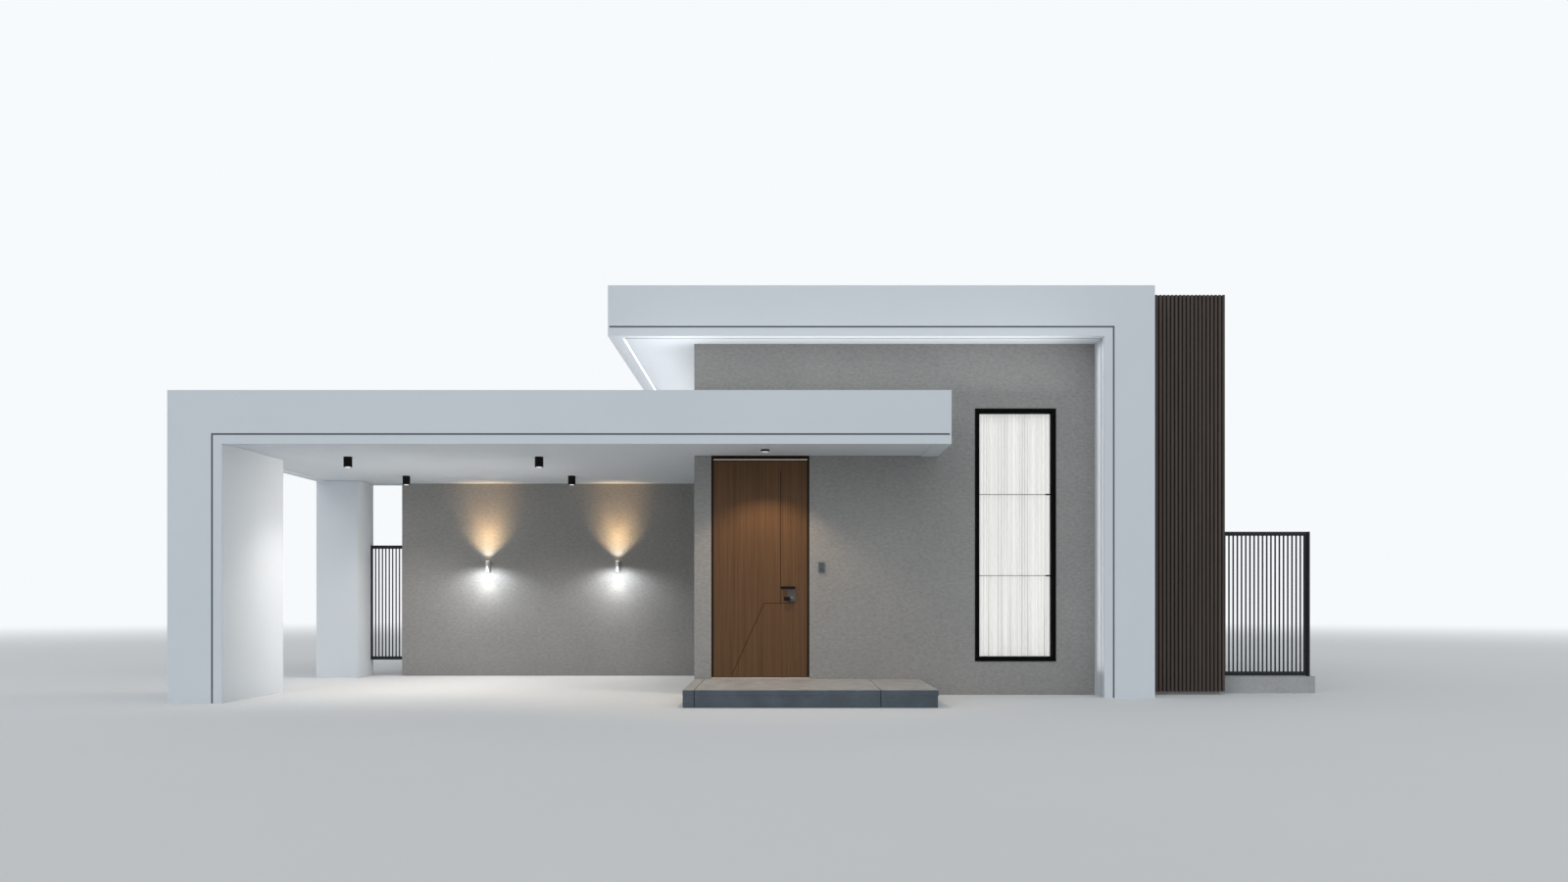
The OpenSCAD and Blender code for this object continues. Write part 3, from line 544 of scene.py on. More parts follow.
def makeGlow(name, colour, strength, base=(0.8, 0.8, 0.8)):
    # Lit diffuser, a little uneven as a moulded cover is
    material, tree, shader, place = newFinish(name, {"Base Color": (*base, 1), "Roughness": 0.4,
                                                     "Emission Strength": strength})
    cloud = noise(tree, place, scale=9.0, detail=2.0)
    tree.links.new(tint(tree, (*colour, 1), cloud, low=0.94, high=1.0), shader.inputs["Emission Color"])
    return material


lineGlow = makeGlow("lineGlow", (1.0, 0.985, 0.99), 2.0)
doorGlow = makeGlow("doorGlow", (1.0, 0.90, 0.78), 0.22, (0.5, 0.46, 0.4))
spotGlow = makeGlow("spotGlow", (1.0, 0.98, 0.95), 0.75)
porchGlow = makeGlow("porchGlow", (0.97, 0.98, 1.0), 0.28, (0.6, 0.6, 0.6))
warmGlow = makeGlow("warmGlow", (1.0, 0.78, 0.52), 4.0)
coolGlow = makeGlow("coolGlow", (0.95, 0.98, 1.0), 4.0)


def makeGlass():
    # Clear glass with a faint wave in its gloss
    material, tree, shader, place = newFinish("windowGlass", {
        "Base Color": (0.93, 0.945, 0.945, 1), "Transmission Weight": 1.0, "IOR": 1.45, "Metallic": 0.0})
    tree.links.new(span(tree, noise(tree, place, scale=2.0), low=0.01, high=0.03), shader.inputs["Roughness"])
    bump(tree, shader, noise(tree, place, scale=1.5, detail=1.0), strength=0.02, depth=0.002)
    return material


finishes["window_glass"] = makeGlass()
for part in frame["record"]["subparts"]:
    finish = finishes.get(part["material_slot"])
    if finish:
        nodes[part["node"]].data.materials.clear()
        nodes[part["node"]].data.materials.append(finish)
nodes["door_threshold"].data.materials[0] = sillStone  # The sill is paler than the step
print("finishes:", len(bpy.data.materials))


# Entrance step: stone slabs on a plinth of facing stones, with open joints

step = {"joints": (0.119, 2.036), "jointW": 0.004, "ease": 0.003, "plinthEase": 0.004}


def cutAtJoints(low, high, joints, width):
    # Block corners along X, parted at the joints: a block ends half of the joint's width beside its middle
    edges = [low[0]] + [low[0] + j for j in joints] + [high[0]]
    lows, highs = [], []
    for i in range(len(edges) - 1):
        first = edges[i] + (width / 2 if i else 0)
        last = edges[i + 1] - (width / 2 if i < len(edges) - 2 else 0)
        lows.append((first, low[1], low[2]))
        highs.append((last, high[1], high[2]))
    return np.array(lows), np.array(highs)


slabLow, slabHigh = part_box("step_slabs")
lows, highs = cutAtJoints(slabLow, slabHigh, step["joints"], step["jointW"])
stepTop = makePiece("stepStones", *easedBlocks(lows, highs, step["ease"]), "step_stone")
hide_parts("step_slabs")
plinthLow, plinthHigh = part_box("step_plinth")
lows, highs = cutAtJoints(plinthLow, plinthHigh, step["joints"], step["jointW"])
facing = easedBlocks(lows, highs, step["plinthEase"])
stepBase = makePiece("stepFacing", *facing, "step_stone")
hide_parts("step_plinth")
print("entrance step done")


# Frame grooves: a dark bead in each groove of the white frames and of the high soffit, painted shade that
# makes the grooves look deeply shadowed

groove = {"wide": 0.020, "deep": 0.012, "in": 0.104, "stop": 0.017, "wall": 0.0012, "clear": 0.0004,
          "foot": 0.001, "lineGroove": 0.024}
band = {"front": 0.190, "side": 0.110, "wing": 0.200, "high": 0.150}  # Widths of the roofs' bands
carLow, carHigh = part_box("carport_roof")
porchLow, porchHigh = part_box("porch_canopy")
canopyLow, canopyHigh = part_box("upper_canopy")
roofLow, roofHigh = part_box("high_roof")
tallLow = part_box("tall_leg")[0]
lineX = canopyLow[0] + band["high"]


def grooveShadeBeads():
    # A channel profile carried along each groove: over the front and down the leg of both frames, up the tall
    # leg's reveal, and along the front of the high soffit up to the light line's groove
    clear, foot = groove["clear"], groove["foot"]
    face = channel(groove["wide"] - 2 * clear, groove["deep"] - clear, groove["wall"], -clear)
    lowX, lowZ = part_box("carport_leg")[1][0] - groove["in"], carLow[2] + groove["in"]
    highX, highZ = tallLow[0] + groove["in"], canopyLow[2] + groove["in"]
    revealY, soffitZ = canopyLow[1] + band["high"], canopyLow[2]
    lowPath = [(porchHigh[0] - groove["stop"], carLow[1], lowZ), (lowX, carLow[1], lowZ),
               (lowX, carLow[1], foot)]
    highPath = [(canopyLow[0] + groove["stop"], canopyLow[1], highZ), (highX, canopyLow[1], highZ),
                (highX, canopyLow[1], foot)]
    revealPath = [(tallLow[0], revealY, foot), (tallLow[0], revealY, soffitZ)]
    soffitPath = [(tallLow[0] + groove["deep"] - clear, revealY, soffitZ),
                  (lineX + groove["lineGroove"], revealY, soffitZ)]
    return [carried(face, lowPath, (0, -1, 0)), carried(face, highPath, (0, -1, 0)),
            carried(face, revealPath, (-1, 0, 0)), carried(face, soffitPath, (0, 0, -1))]


# The beads' dark grey is painted shade in the grooves
makePiece("frameGrooveShadeBeads", *joined(grooveShadeBeads()), "white_render", grooveShadeBead)
print("frame grooves done")


# Windows: sealant lines between the panes and rubber round the glass

window = {"rows": 3, "lineH": 0.009, "lineOut": 0.0015, "lineEase": 0.0004, "rubberW": 0.007,
          "rubberOut": 0.005, "rubberEase": 0.001}
paneBoxes = solidBoxes("window_panes")


def addStrip(pair, thin, face, out, across, up):
    # One strip on a face of the glass, as the lowest and the highest corner of a block
    a, b = np.zeros(3), np.zeros(3)
    a[thin], b[thin] = min(face, face + out), max(face, face + out)
    a[1 - thin], b[1 - thin] = across
    a[2], b[2] = up
    pair[0].append(a)
    pair[1].append(b)


def windowTrim():
    # For each sheet of glass: a level strip at each joint on both faces, and four rubber strips on each face.
    # The face axis is the thin one of the glass's box
    lines, rubber = ([], []), ([], [])
    half, w = window["lineH"] / 2, window["rubberW"]
    for low, high in paneBoxes:
        thin = int(np.argmin(high - low))
        (x0, x1), (z0, z1) = (low[1 - thin], high[1 - thin]), (low[2], high[2])
        for face, out in ((low[thin], -1), (high[thin], 1)):
            for k in range(1, window["rows"]):
                z = z0 + k * (z1 - z0) / window["rows"]
                addStrip(lines, thin, face, out * window["lineOut"], (x0, x1), (z - half, z + half))
            for across, up in (((x0, x1), (z0, z0 + w)), ((x0, x1), (z1 - w, z1)),
                               ((x0, x0 + w), (z0 + w, z1 - w)), ((x1 - w, x1), (z0 + w, z1 - w))):
                addStrip(rubber, thin, face, out * window["rubberOut"], across, up)
    return lines, rubber


lines, rubber = windowTrim()
makePiece("paneJointLines", *easedBlocks(*lines, window["lineEase"]), "window_aluminium", paneSealant)
makePiece("glassRubbers", *easedBlocks(*rubber, window["rubberEase"]), "window_aluminium", sealRubber)
print("window trim done:", len(paneBoxes), "windows")


# Curtain: one gathered sheer

curtain = {"gathers": 23, "folds": 5.3, "across": 560, "down": 40, "fullness": 1.62, "edge": 0.004,
           "clear": 0.0015, "reach": 0.010, "rounds": 40, "fineFall": 0.42, "broadStart": 0.25,
           "broadRise": 0.55, "lean": 0.0038, "thick": 0.0006}
# Slow waves that make no two folds alike: share, times over the width, start, and drift with the depth
wobble = {"gather": ((0.42, 1.7, 0.11, 0.0), (0.26, 4.3, 0.4, 0.05), (0.10, 7.9, 0.7, 0.0)),
          "fold": ((0.30, 1.1, 0.62, 0.0), (0.16, 2.9, 0.2, 0.07)),
          "size": ((0.13, 3.1, 0.2, 0.0), (0.12, 8.7, 0.0, 0.3)), "lean": ((0.5, 2.3, 0.5, 0.1),)}
foldShade = {"from": 1.0, "range": 2.6, "power": 1.3, "least": 0.45}


def slowWaves(kind, u, v):
    # The sum of share * sin(2 pi (times * u + start + drift * v))
    return sum(share * np.sin(2 * math.pi * (times * u + start + drift * v))
               for share, times, start, drift in wobble[kind])


def foldedCurtain():
    # The cloth hangs from fine gathers at the rail that turn into broader folds below:
    # depth = reach * (fine * sin(gather turn) + broad * sin(fold turn)), where fine falls and broad grows
    # with the share v of the drop, and slow waves are added to each turn. The gathers lean:
    # x = even step + lean * cos(gather turn). Each row's reach is scaled until the row is as long as the cut
    # cloth, reach *= cut width / row length, and tanh keeps it inside the curtain's own box. The shade is
    # the steepness of the folds, from 0 where the cloth faces the room to 1 where it is edge-on
    low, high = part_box("curtain")
    u, v = np.meshgrid(np.linspace(0, 1, curtain["across"]), np.linspace(0, 1, curtain["down"]))
    gatherTurn = 2 * math.pi * (curtain["gathers"] * u + slowWaves("gather", u, v))
    foldTurn = 2 * math.pi * (curtain["folds"] * u + slowWaves("fold", u, v))
    fall = v * v * (3 - 2 * v)
    size = 1 + slowWaves("size", u, v)
    fine, broad = (1 - curtain["fineFall"] * fall) * size, curtain["broadStart"] + curtain["broadRise"] * fall
    lean = curtain["lean"] * (1 + slowWaves("lean", u, v))
    width = high[0] - low[0] - 2 * (curtain["edge"] + lean.max())
    x = (low[0] + high[0]) / 2 + width * (u - 0.5) + lean * np.cos(gatherTurn)
    room = (high[1] - low[1]) / 2 - curtain["clear"]
    reach = np.full((curtain["down"], 1), curtain["reach"])
    for _ in range(curtain["rounds"]):
        y = room * np.tanh(reach * (fine * np.sin(gatherTurn) + broad * np.sin(foldTurn)) / room)
        row = np.hypot(np.diff(x, axis=1), np.diff(y, axis=1)).sum(1, keepdims=True)
        reach *= width * curtain["fullness"] / row
    z = high[2] - (high[2] - low[2]) * v
    slope = np.abs(np.gradient(y, axis=1)) / np.maximum(np.gradient(x, axis=1), 1e-5)
    steep = np.clip((slope - foldShade["from"]) / foldShade["range"], 0, 1) ** foldShade["power"]
    shade = steep * (foldShade["least"] + (1 - foldShade["least"]) * size / size.max())
    points = np.stack([x, (low[1] + high[1]) / 2 + y, z], axis=-1).reshape(-1, 3)
    cut = (float(row.mean()), high[2] - low[2])
    return points, gridFaces(curtain["down"], curtain["across"]), shade.ravel(), cut


def makeSheer():
    # Sheer cloth with a painted backlight: it glows as if a lamp were behind it, and its glow and base colour
    # are painted darker where a fold turns edge-on and the light passes more cloth
    material, tree, shader = newFinish("curtainSheer", {"Roughness": 0.9, "Emission Strength": 0.47,
                                                        "Sheen Weight": 0.1})[:3]
    shade = put(tree, "ShaderNodeAttribute", attribute_name="foldShade").outputs["Fac"]
    weave = put(tree, "ShaderNodeTexCoord").outputs["UV"]
    wave = put(tree, "ShaderNodeTexWave", {"Vector": weave, "Scale": 900.0}, bands_direction="X")
    threads = wave.outputs["Fac"]
    # Painted shade: the base colour and the painted glow darken with the fold's shade
    base = mixColour(tree, shade, (0.72, 0.705, 0.685, 1), (0.42, 0.415, 0.405, 1))
    glow = mixColour(tree, shade, (1.0, 0.975, 0.945, 1), (0.44, 0.43, 0.415, 1))
    tree.links.new(tint(tree, base, threads, low=0.97, high=1.02), shader.inputs["Base Color"])
    tree.links.new(glow, shader.inputs["Emission Color"])
    bump(tree, shader, threads, strength=0.1, depth=0.0004)
    return material


points, faces, shade, cutSize = foldedCurtain()
sheer = makePiece("sheerCurtain", points, faces, "curtain_fabric", makeSheer(), smooth=True)
sheer.data.attributes.new("foldShade", "FLOAT", "POINT").data.foreach_set("value", shade)
corners = np.zeros(len(sheer.data.loops), int)
sheer.data.loops.foreach_get("vertex_index", corners)
clothUv = np.stack([(corners % curtain["across"]) / (curtain["across"] - 1) * cutSize[0],
                    (corners // curtain["across"]) / (curtain["down"] - 1) * cutSize[1]], axis=-1)
sheer.data.uv_layers.new(name="cloth").data.foreach_set("uv", clothUv.ravel())
solidify = sheer.modifiers.new("clothThickness", "SOLIDIFY")
solidify.thickness = curtain["thick"]
solidify.offset = 0.0
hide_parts("curtain")
print("curtain done: cut", [round(c, 3) for c in cutSize])


# Lights of the house: lit lines, spots, porch light and wall lights

soffitLine = {"wide": 0.0232, "deep": 0.0116, "wall": 0.0012, "bulge": 0.004, "play": 0.0003, "bed": 0.9,
              "spring": 0.5, "lip": -0.0005, "front": 0.146, "rear": 0.152}


def soffitLight():
    # The diffuser's profile is a bed with a shallow arc: depth = bulge * sin a - spring * deep
    half, deep = soffitLine["wide"] / 2 - soffitLine["wall"] - soffitLine["play"], soffitLine["deep"]
    bed, spring = -soffitLine["bed"] * deep, -soffitLine["spring"] * deep
    arc = np.linspace(0, math.pi, 9)
    cover = [(-half, bed), (half, bed)]
    cover += [(half * math.cos(a), spring + soffitLine["bulge"] * math.sin(a)) for a in arc]
    x = lineX + groove["lineGroove"] / 2
    path = [(x, canopyLow[1] + soffitLine["front"], canopyLow[2]),
            (x, roofHigh[1] - soffitLine["rear"], canopyLow[2])]
    body = channel(soffitLine["wide"], soffitLine["deep"], soffitLine["wall"], soffitLine["lip"])
    return carried(cover, path, (0, 0, -1)), carried(body, path, (0, 0, -1))


cover, body = soffitLight()
makePiece("soffitLightLine", *cover, "rail_aluminium", lineGlow)
makePiece("soffitLightChannel", *body, "rail_aluminium")

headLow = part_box("door_head")[0]
leafLow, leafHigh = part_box("door_leaf")
doorLine = {"high": 0.0085, "drop": 0.0005, "out": 0.004, "back": 0.001, "ease": 0.001}
doorLineLow = (leafLow[0], headLow[1] - doorLine["out"], headLow[2] - doorLine["drop"])
doorLineHigh = (leafHigh[0], headLow[1] + doorLine["back"], headLow[2] + doorLine["high"])
doorLineShape = easedBlocks([doorLineLow], [doorLineHigh], doorLine["ease"])
makePiece("doorLightLine", *doorLineShape, "rail_aluminium", doorGlow)

# Each spot: a domed lens, and a baffle round it whose face rises towards the lens
spot = {"lensR": 0.031, "dome": 0.006, "baffleR": 0.0415, "deep": 0.0118, "gap": 0.0006, "rimIn": 0.004,
        "rimOut": 0.001}
spotBoxes = solidBoxes("ceiling_spots")
quarter = np.linspace(0, math.pi / 2, 8)
lenses, baffles = [], []
for low, high in spotBoxes:
    middle = underMiddle(low, high)
    profile = [(spot["lensR"] * math.sin(a), -spot["dome"] * math.cos(a)) for a in quarter]
    lenses.append(turnedShell(profile + [(spot["lensR"], spot["deep"]), (0.0, spot["deep"])], middle))
    r, b, d, rim = spot["lensR"] + spot["gap"], spot["baffleR"], spot["deep"], spot["rimOut"]
    baffle = [(b, rim), (b, d), (r, d), (r, spot["rimIn"]), (b - rim, rim), (b, rim)]
    baffles.append(turnedShell(baffle, middle))
makePiece("spotLenses", *joined(lenses), "black_metal", spotGlow, smooth=True)
makePiece("spotBaffles", *joined(baffles), "black_metal")

# Porch light: a ring with eased edges, and a dome set into it
porch = {"ringH": 0.022, "rim": 0.006, "ease": 0.001, "step": 0.004, "domeGap": 0.0005, "domeOut": 0.002,
         "steps": 64}
low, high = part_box("porch_light")
foot = underMiddle(low, high)
radius, tall = (high[0] - low[0]) / 2, high[2] - low[2]
bottom, inner, e = tall - porch["ringH"], radius - porch["rim"], porch["ease"]
ring = [(inner, bottom + porch["step"]), (inner, bottom), (radius - e, bottom), (radius, bottom + e),
        (radius, tall - e), (radius - e, tall), (inner, tall), (inner, bottom + porch["step"])]
porchRing = makePiece("porchLightRing", *turnedShell(ring, foot, porch["steps"]), "black_metal")
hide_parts("porch_light")
domeR, domeH = inner - porch["domeGap"], bottom + porch["domeOut"]
dome = [(domeR * math.sin(a), domeH * (1 - math.cos(a))) for a in quarter] + [(domeR, tall), (0.0, tall)]
makePiece("porchLightDome", *turnedShell(dome, foot, porch["steps"]), "black_metal", porchGlow, smooth=True)

# Wall lights: a shallow domed lens on each end of the lamp's body
wallLamp = {"bodyR": 0.035, "lensR": 0.028, "lensH": 0.003, "shoulder": (0.7, 0.9), "skirt": 0.6}
wallLampBoxes = solidBoxes("wall_lights")
upper, lower = [], []
for low, high in wallLampBoxes:
    across, h, r = (low[0] + high[0]) / 2, wallLamp["lensH"], wallLamp["lensR"]
    middle = (across, low[1] + wallLamp["bodyR"])
    shoulder = (wallLamp["shoulder"][0] * r, wallLamp["shoulder"][1] * h)
    profile = [(0.0, 0.0), (r, 0.0), (r, wallLamp["skirt"] * h), shoulder, (0.0, h)]
    upper.append(turnedShell(profile, (*middle, high[2])))
    lower.append(turnedShell([(x, -z) for x, z in profile][::-1], (*middle, low[2])))
makePiece("wallLightUpperLenses", *joined(upper), "wall_light_metal", warmGlow, smooth=True)
makePiece("wallLightLowerLenses", *joined(lower), "wall_light_metal", coolGlow, smooth=True)
print("house lights done")


# Roof finish: rolled membrane with lapped seams inside the bands

roofCover = {"sheetW": 1.0, "lap": 0.1, "thick": 0.004, "over": 0.0015, "ease": 0.001, "upstand": 0.15}
deck = {"low": 0.210, "high": 0.200}  # Heights of the decks over the soffits


def membrane(x0, x1, y0, y1, z):
    # Sheets side by side along X, as many as the width holds, rounded; every other sheet lies a little
    # higher and laps over its neighbours by half of the lap on each side
    count = max(1, round((x1 - x0) / roofCover["sheetW"]))
    wide = (x1 - x0) / count
    lows, highs = [], []
    for i in range(count):
        lap = roofCover["lap"] / 2 * (i % 2)
        foot = z + roofCover["over"] * (i % 2)
        lows.append((x0 + i * wide - (lap if i else 0), y0, foot))
        highs.append((x0 + (i + 1) * wide + (lap if i < count - 1 else 0), y1, foot + roofCover["thick"]))
    return np.array(lows), np.array(highs)


def upstands(x0, x1, y0, y1, z, sides):
    # Strips of membrane turned up against the bands and walls on the named sides
    t, h = roofCover["thick"], roofCover["upstand"]
    strips = {"left": ((x0, y0, z), (x0 + t, y1, z + h)), "right": ((x1 - t, y0, z), (x1, y1, z + h)),
              "front": ((x0, y0, z), (x1, y0 + t, z + h)), "rear": ((x0, y1 - t, z), (x1, y1, z + h))}
    return np.array([strips[s][0] for s in sides]), np.array([strips[s][1] for s in sides])


wingLow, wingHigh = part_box("wing_roof")
lowDeck, highDeck = carLow[2] + deck["low"], canopyLow[2] + deck["high"]
decks = [
    (carLow[0] + band["side"], carHigh[0], carLow[1] + band["front"], carHigh[1] - band["wing"], lowDeck,
     ("left", "front", "rear", "right")),
    (porchLow[0], porchHigh[0] - band["front"], porchLow[1] + band["front"], porchHigh[1], lowDeck,
     ("front", "right", "rear")),
    (wingLow[0] + band["wing"], wingHigh[0], wingLow[1], wingHigh[1] - band["wing"], lowDeck,
     ("left", "rear", "right")),
    (roofLow[0] + band["high"], roofHigh[0] - band["high"], roofLow[1], roofHigh[1] - band["high"], highDeck,
     ("left", "rear", "right")),
    (canopyLow[0] + band["high"], canopyHigh[0] - band["high"], canopyLow[1] + band["high"], canopyHigh[1],
     highDeck, ("front", "left"))]
parts = []
for x0, x1, y0, y1, z, sides in decks:
    parts.append(easedBlocks(*membrane(x0, x1, y0, y1, z), roofCover["ease"]))
    parts.append(easedBlocks(*upstands(x0, x1, y0, y1, z, sides), roofCover["ease"]))
makePiece("roofMembranes", *joined(parts), "grey_plaster", roofMembrane)
print("roof finish done")


# Entrance door: dark strips in the leaf's grooves, painted shade that darkens them, and rubber seals that
# close the gap around the leaf

doorTrim = {"grooveX": 0.310, "grooveZ": 0.858, "top": 0.119, "left": 0.194, "right": 0.165, "run": 0.371,
            "foot": 0.033, "grooveW": 0.006, "grooveD": 0.004, "shadeStripW": 0.0052, "shadeStripT": 0.0012,
            "under": 0.0001, "endGap": 0.0005, "footGap": (0.001, 0.002)}


def grooveShadeStrips():
    # A flat strip carried along the groove's middle line: one up, one level that turns down the slant; its
    # dark finish is painted shade. The slant's middle line is half of its level width right of its left edge,
    # and meets the level one at z
    t = doorTrim
    x, z, y = leafHigh[0] - t["grooveX"], leafLow[2] + t["grooveZ"], leafLow[1] + t["grooveD"]
    half, slantH = t["grooveW"] / 2, t["grooveZ"] - t["foot"]
    levelHalf = half / math.cos(math.atan2(t["run"], slantH))
    corner = x - t["left"] + levelHalf - half * t["run"] / slantH
    foot = (x - t["left"] - t["run"] + levelHalf + t["footGap"][0], y, z + half - slantH + t["footGap"][1])
    w, d = t["shadeStripW"] / 2, t["shadeStripT"]
    strip = [(-w, t["under"]), (w, t["under"]), (w, d), (-w, d)]
    upright = [(x, y, z + half), (x, y, leafHigh[2] - t["top"] - half - t["endGap"])]
    level = [(x + t["right"] - t["endGap"], y, z), (corner, y, z), foot]
    return [carried(strip, upright, (0, -1, 0)), carried(strip, level, (0, -1, 0))]


makePiece("doorGrooveShadeStrips", *joined(grooveShadeStrips()), "door_frame_paint", doorGrooveShade, body="door")

# The lip seals lie on the leaf's rear face beside the latch and over the top, the drop seal hangs under the
# leaf, and the hinge side seal stands on the jamb
seal = {"lipIn": 0.015, "lipOut": 0.019, "lipT": 0.004, "lipFoot": 0.004, "topIn": 0.012, "topOut": 0.014,
        "joint": 0.0005, "lipEase": 0.0008, "dropIn": 0.004, "dropY": (0.024, 0.034), "dropH": 0.0045,
        "sideX": (0.005, 0.0006), "sideY": (0.007, 0.019), "ease": 0.0005}


def doorSeals():
    # Each seal is a block, and its corners are the leaf's corners with the seal's sizes added or taken off
    s, (x0, y0, z0), (x1, y1, z1) = seal, leafLow, leafHigh
    lipLows = [(x1 - s["lipIn"], y1, z0 + s["lipFoot"]), (x0 + s["topIn"], y1, z1 - s["topIn"])]
    lipHighs = [(x1 + s["lipOut"], y1 + s["lipT"], z1 + s["topOut"]),
                (x1 - s["lipIn"] - s["joint"], y1 + s["lipT"], z1 + s["topOut"])]
    (front, back), (sideFront, sideBack) = s["dropY"], s["sideY"]
    drop = easedBlocks([(x0 + s["dropIn"], y0 + front, z0 - s["dropH"])], [(x1 - s["dropIn"], y0 + back, z0)],
                       s["ease"])
    side = easedBlocks([(x0 - s["sideX"][0], y0 + sideFront, z0)], [(x0 - s["sideX"][1], y0 + sideBack, z1)],
                       s["ease"])
    return easedBlocks(lipLows, lipHighs, s["lipEase"]), drop, side


lipSeals, dropSeal, sideSeal = doorSeals()
makePiece("doorLipSeals", *lipSeals, "door_frame_paint", sealRubber, body="door")
makePiece("doorDropSeal", *dropSeal, "door_frame_paint", sealRubber, body="door")
makePiece("hingeSideSeal", *sideSeal, "door_frame_paint", sealRubber)
print("door trim done")


# Small plates: the door panel's face, and the lever's grips and roses

panel = {"rim": 0.006, "rise": 0.0015, "ease": 0.0007, "steps": 32}
panelDiscs = ({"at": 0.70, "radius": 0.011, "rise": 0.002}, {"at": 0.30, "radius": 0.013, "rise": 0.0025})


def panelFace():
    # A plate on the panel's front, and on it a lens and a button: low discs with a bevelled edge
    low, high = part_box("door_panel")
    rim, front = panel["rim"], low[1] - panel["rise"]
    plate = easedBlocks([(low[0] + rim, front, low[2] + rim)], [(high[0] - rim, low[1], high[2] - rim)],
                        panel["ease"])
    discs = []
    for disc in panelDiscs:
        r, rise = disc["radius"], disc["rise"]
        profile = [(0.0, 0.0), (r, 0.0), (r, 0.6 * rise), (0.85 * r, rise), (0.0, rise)]
        place = ((low[0] + high[0]) / 2, front, low[2] + disc["at"] * (high[2] - low[2]))
        discs.append(laidTurned(profile, place, -1, panel["steps"]))
    return plate, joined(discs)


plate, discs = panelFace()
makePiece("doorPanelPlate", *plate, "panel_plastic")
makePiece("doorPanelLens", *discs, "panel_plastic", darkLens)

lever = {"plateHalf": 0.052, "up": 0.032, "reach": 0.038, "grip": (-0.094, -0.016), "tall": 0.021,
         "thick": 0.012, "ease": 0.006}
rose = {"radius": 0.0246, "neckR": 0.0118, "high": 0.0035, "edge": 0.001, "out": 0.020, "steps": 40}
lockLow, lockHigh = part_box("door_lock")
leverX, leverZ = lockHigh[0] - lever["plateHalf"], lockLow[2] + lever["up"]


def leverParts():
    # On both sides of the leaf: a grip block round the lever, and a ring in front of the rose
    grips, roses = ([], []), []
    neck, r, h = rose["neckR"], rose["radius"], rose["high"]
    ring = [(neck, 0.0), (r, 0.0), (r, 0.7 * h), (r - rose["edge"], h), (neck, h), (neck, 0.0)]
    for side, face in ((-1, leafLow[1]), (1, leafHigh[1])):
        middle = face + side * lever["reach"]
        grips[0].append((leverX + lever["grip"][0], middle - lever["thick"], leverZ - lever["tall"]))
        grips[1].append((leverX + lever["grip"][1], middle + lever["thick"], leverZ + lever["tall"]))
        roses.append(laidTurned(ring, (leverX, face + side * rose["out"], leverZ), side, rose["steps"]))
    return grips, roses


grips, roses = leverParts()
makePiece("leverGrips", *easedBlocks(*grips, lever["ease"]), "black_metal", body="door")
makePiece("leverRoses", *joined(roses), "lock_metal", roseSteel, body="door")
print("small plates done")


# Stage and light

stage = {"lift": 0.04, "reach": 70.0, "fadeFrom": 16.0, "fadeTo": 48.0, "rings": 24, "steps": 96,
         "floor": (0.72, 0.73, 0.74), "sky": (0.93, 0.955, 0.975), "light": (0.93, 0.97, 1.0),
         "strength": 0.55}


def seenRays(tree):
    # 1 for what the camera sees directly, in gloss or through glass, and 0 for what lights other surfaces:
    # the greatest of the three kinds of ray
    rays = put(tree, "ShaderNodeLightPath").outputs
    seen = calc(tree, "MAXIMUM", rays["Is Camera Ray"], rays["Is Glossy Ray"])
    return calc(tree, "MAXIMUM", seen, rays["Is Transmission Ray"])


def makeFloor():
    # A pale round floor that fades into the background's colour with the distance from the house: rings of
    # radius reach * share^1.5, from the rim in to the middle
    radii = stage["reach"] * np.linspace(1, 0, stage["rings"]) ** 1.5
    points, faces = turnedShell([(r, 0.0) for r in radii], (0, 0, 0), stage["steps"])
    material, tree, shader, place = newFinish("paleFloor", {"Roughness": 0.9,
                                                            "Emission Color": (0.98, 0.99, 1.0, 1)})
    cloud = noise(tree, place, scale=0.4)
    tree.links.new(vary(tree, (*stage["floor"], 1), cloud, share=0.015), shader.inputs["Base Color"])
    far = put(tree, "ShaderNodeVectorMath", {0: place}, operation="LENGTH").outputs["Value"]
    fade = put(tree, "ShaderNodeMapRange", {"Value": far, "From Min": stage["fadeFrom"],
                                            "From Max": stage["fadeTo"]}, interpolation_type="SMOOTHSTEP")
    lighting = put(tree, "ShaderNodeLightPath").outputs["Is Diffuse Ray"]
    tree.links.new(calc(tree, "MULTIPLY", lighting, stage["lift"]), shader.inputs["Emission Strength"])
    sky = put(tree, "ShaderNodeEmission", {"Color": (*stage["sky"], 1)})
    share = calc(tree, "MULTIPLY", fade.outputs[0], seenRays(tree))
    mix = put(tree, "ShaderNodeMixShader", {0: share, 1: shader.outputs[0], 2: sky.outputs[0]})
    out = next(n for n in tree.nodes if n.type == "OUTPUT_MATERIAL")
    tree.links.new(mix.outputs[0], out.inputs[0])
    floor = addMesh("paleFloor", points, faces, material)


def makeWorld():
    # Even pale light; what the camera sees directly, in gloss or through glass is the background's colour
    world = bpy.data.worlds.new("paleRoom")
    world.use_nodes = True
    tree = world.node_tree
    tree.nodes.clear()
    plain = put(tree, "ShaderNodeBackground", {"Color": (*stage["light"], 1), "Strength": stage["strength"]})
    sky = put(tree, "ShaderNodeBackground", {"Color": (*stage["sky"], 1), "Strength": 1.0})
    mix = put(tree, "ShaderNodeMixShader", {0: seenRays(tree), 1: plain.outputs[0], 2: sky.outputs[0]})
    put(tree, "ShaderNodeOutputWorld", {0: mix.outputs[0]})
    scene.world = world


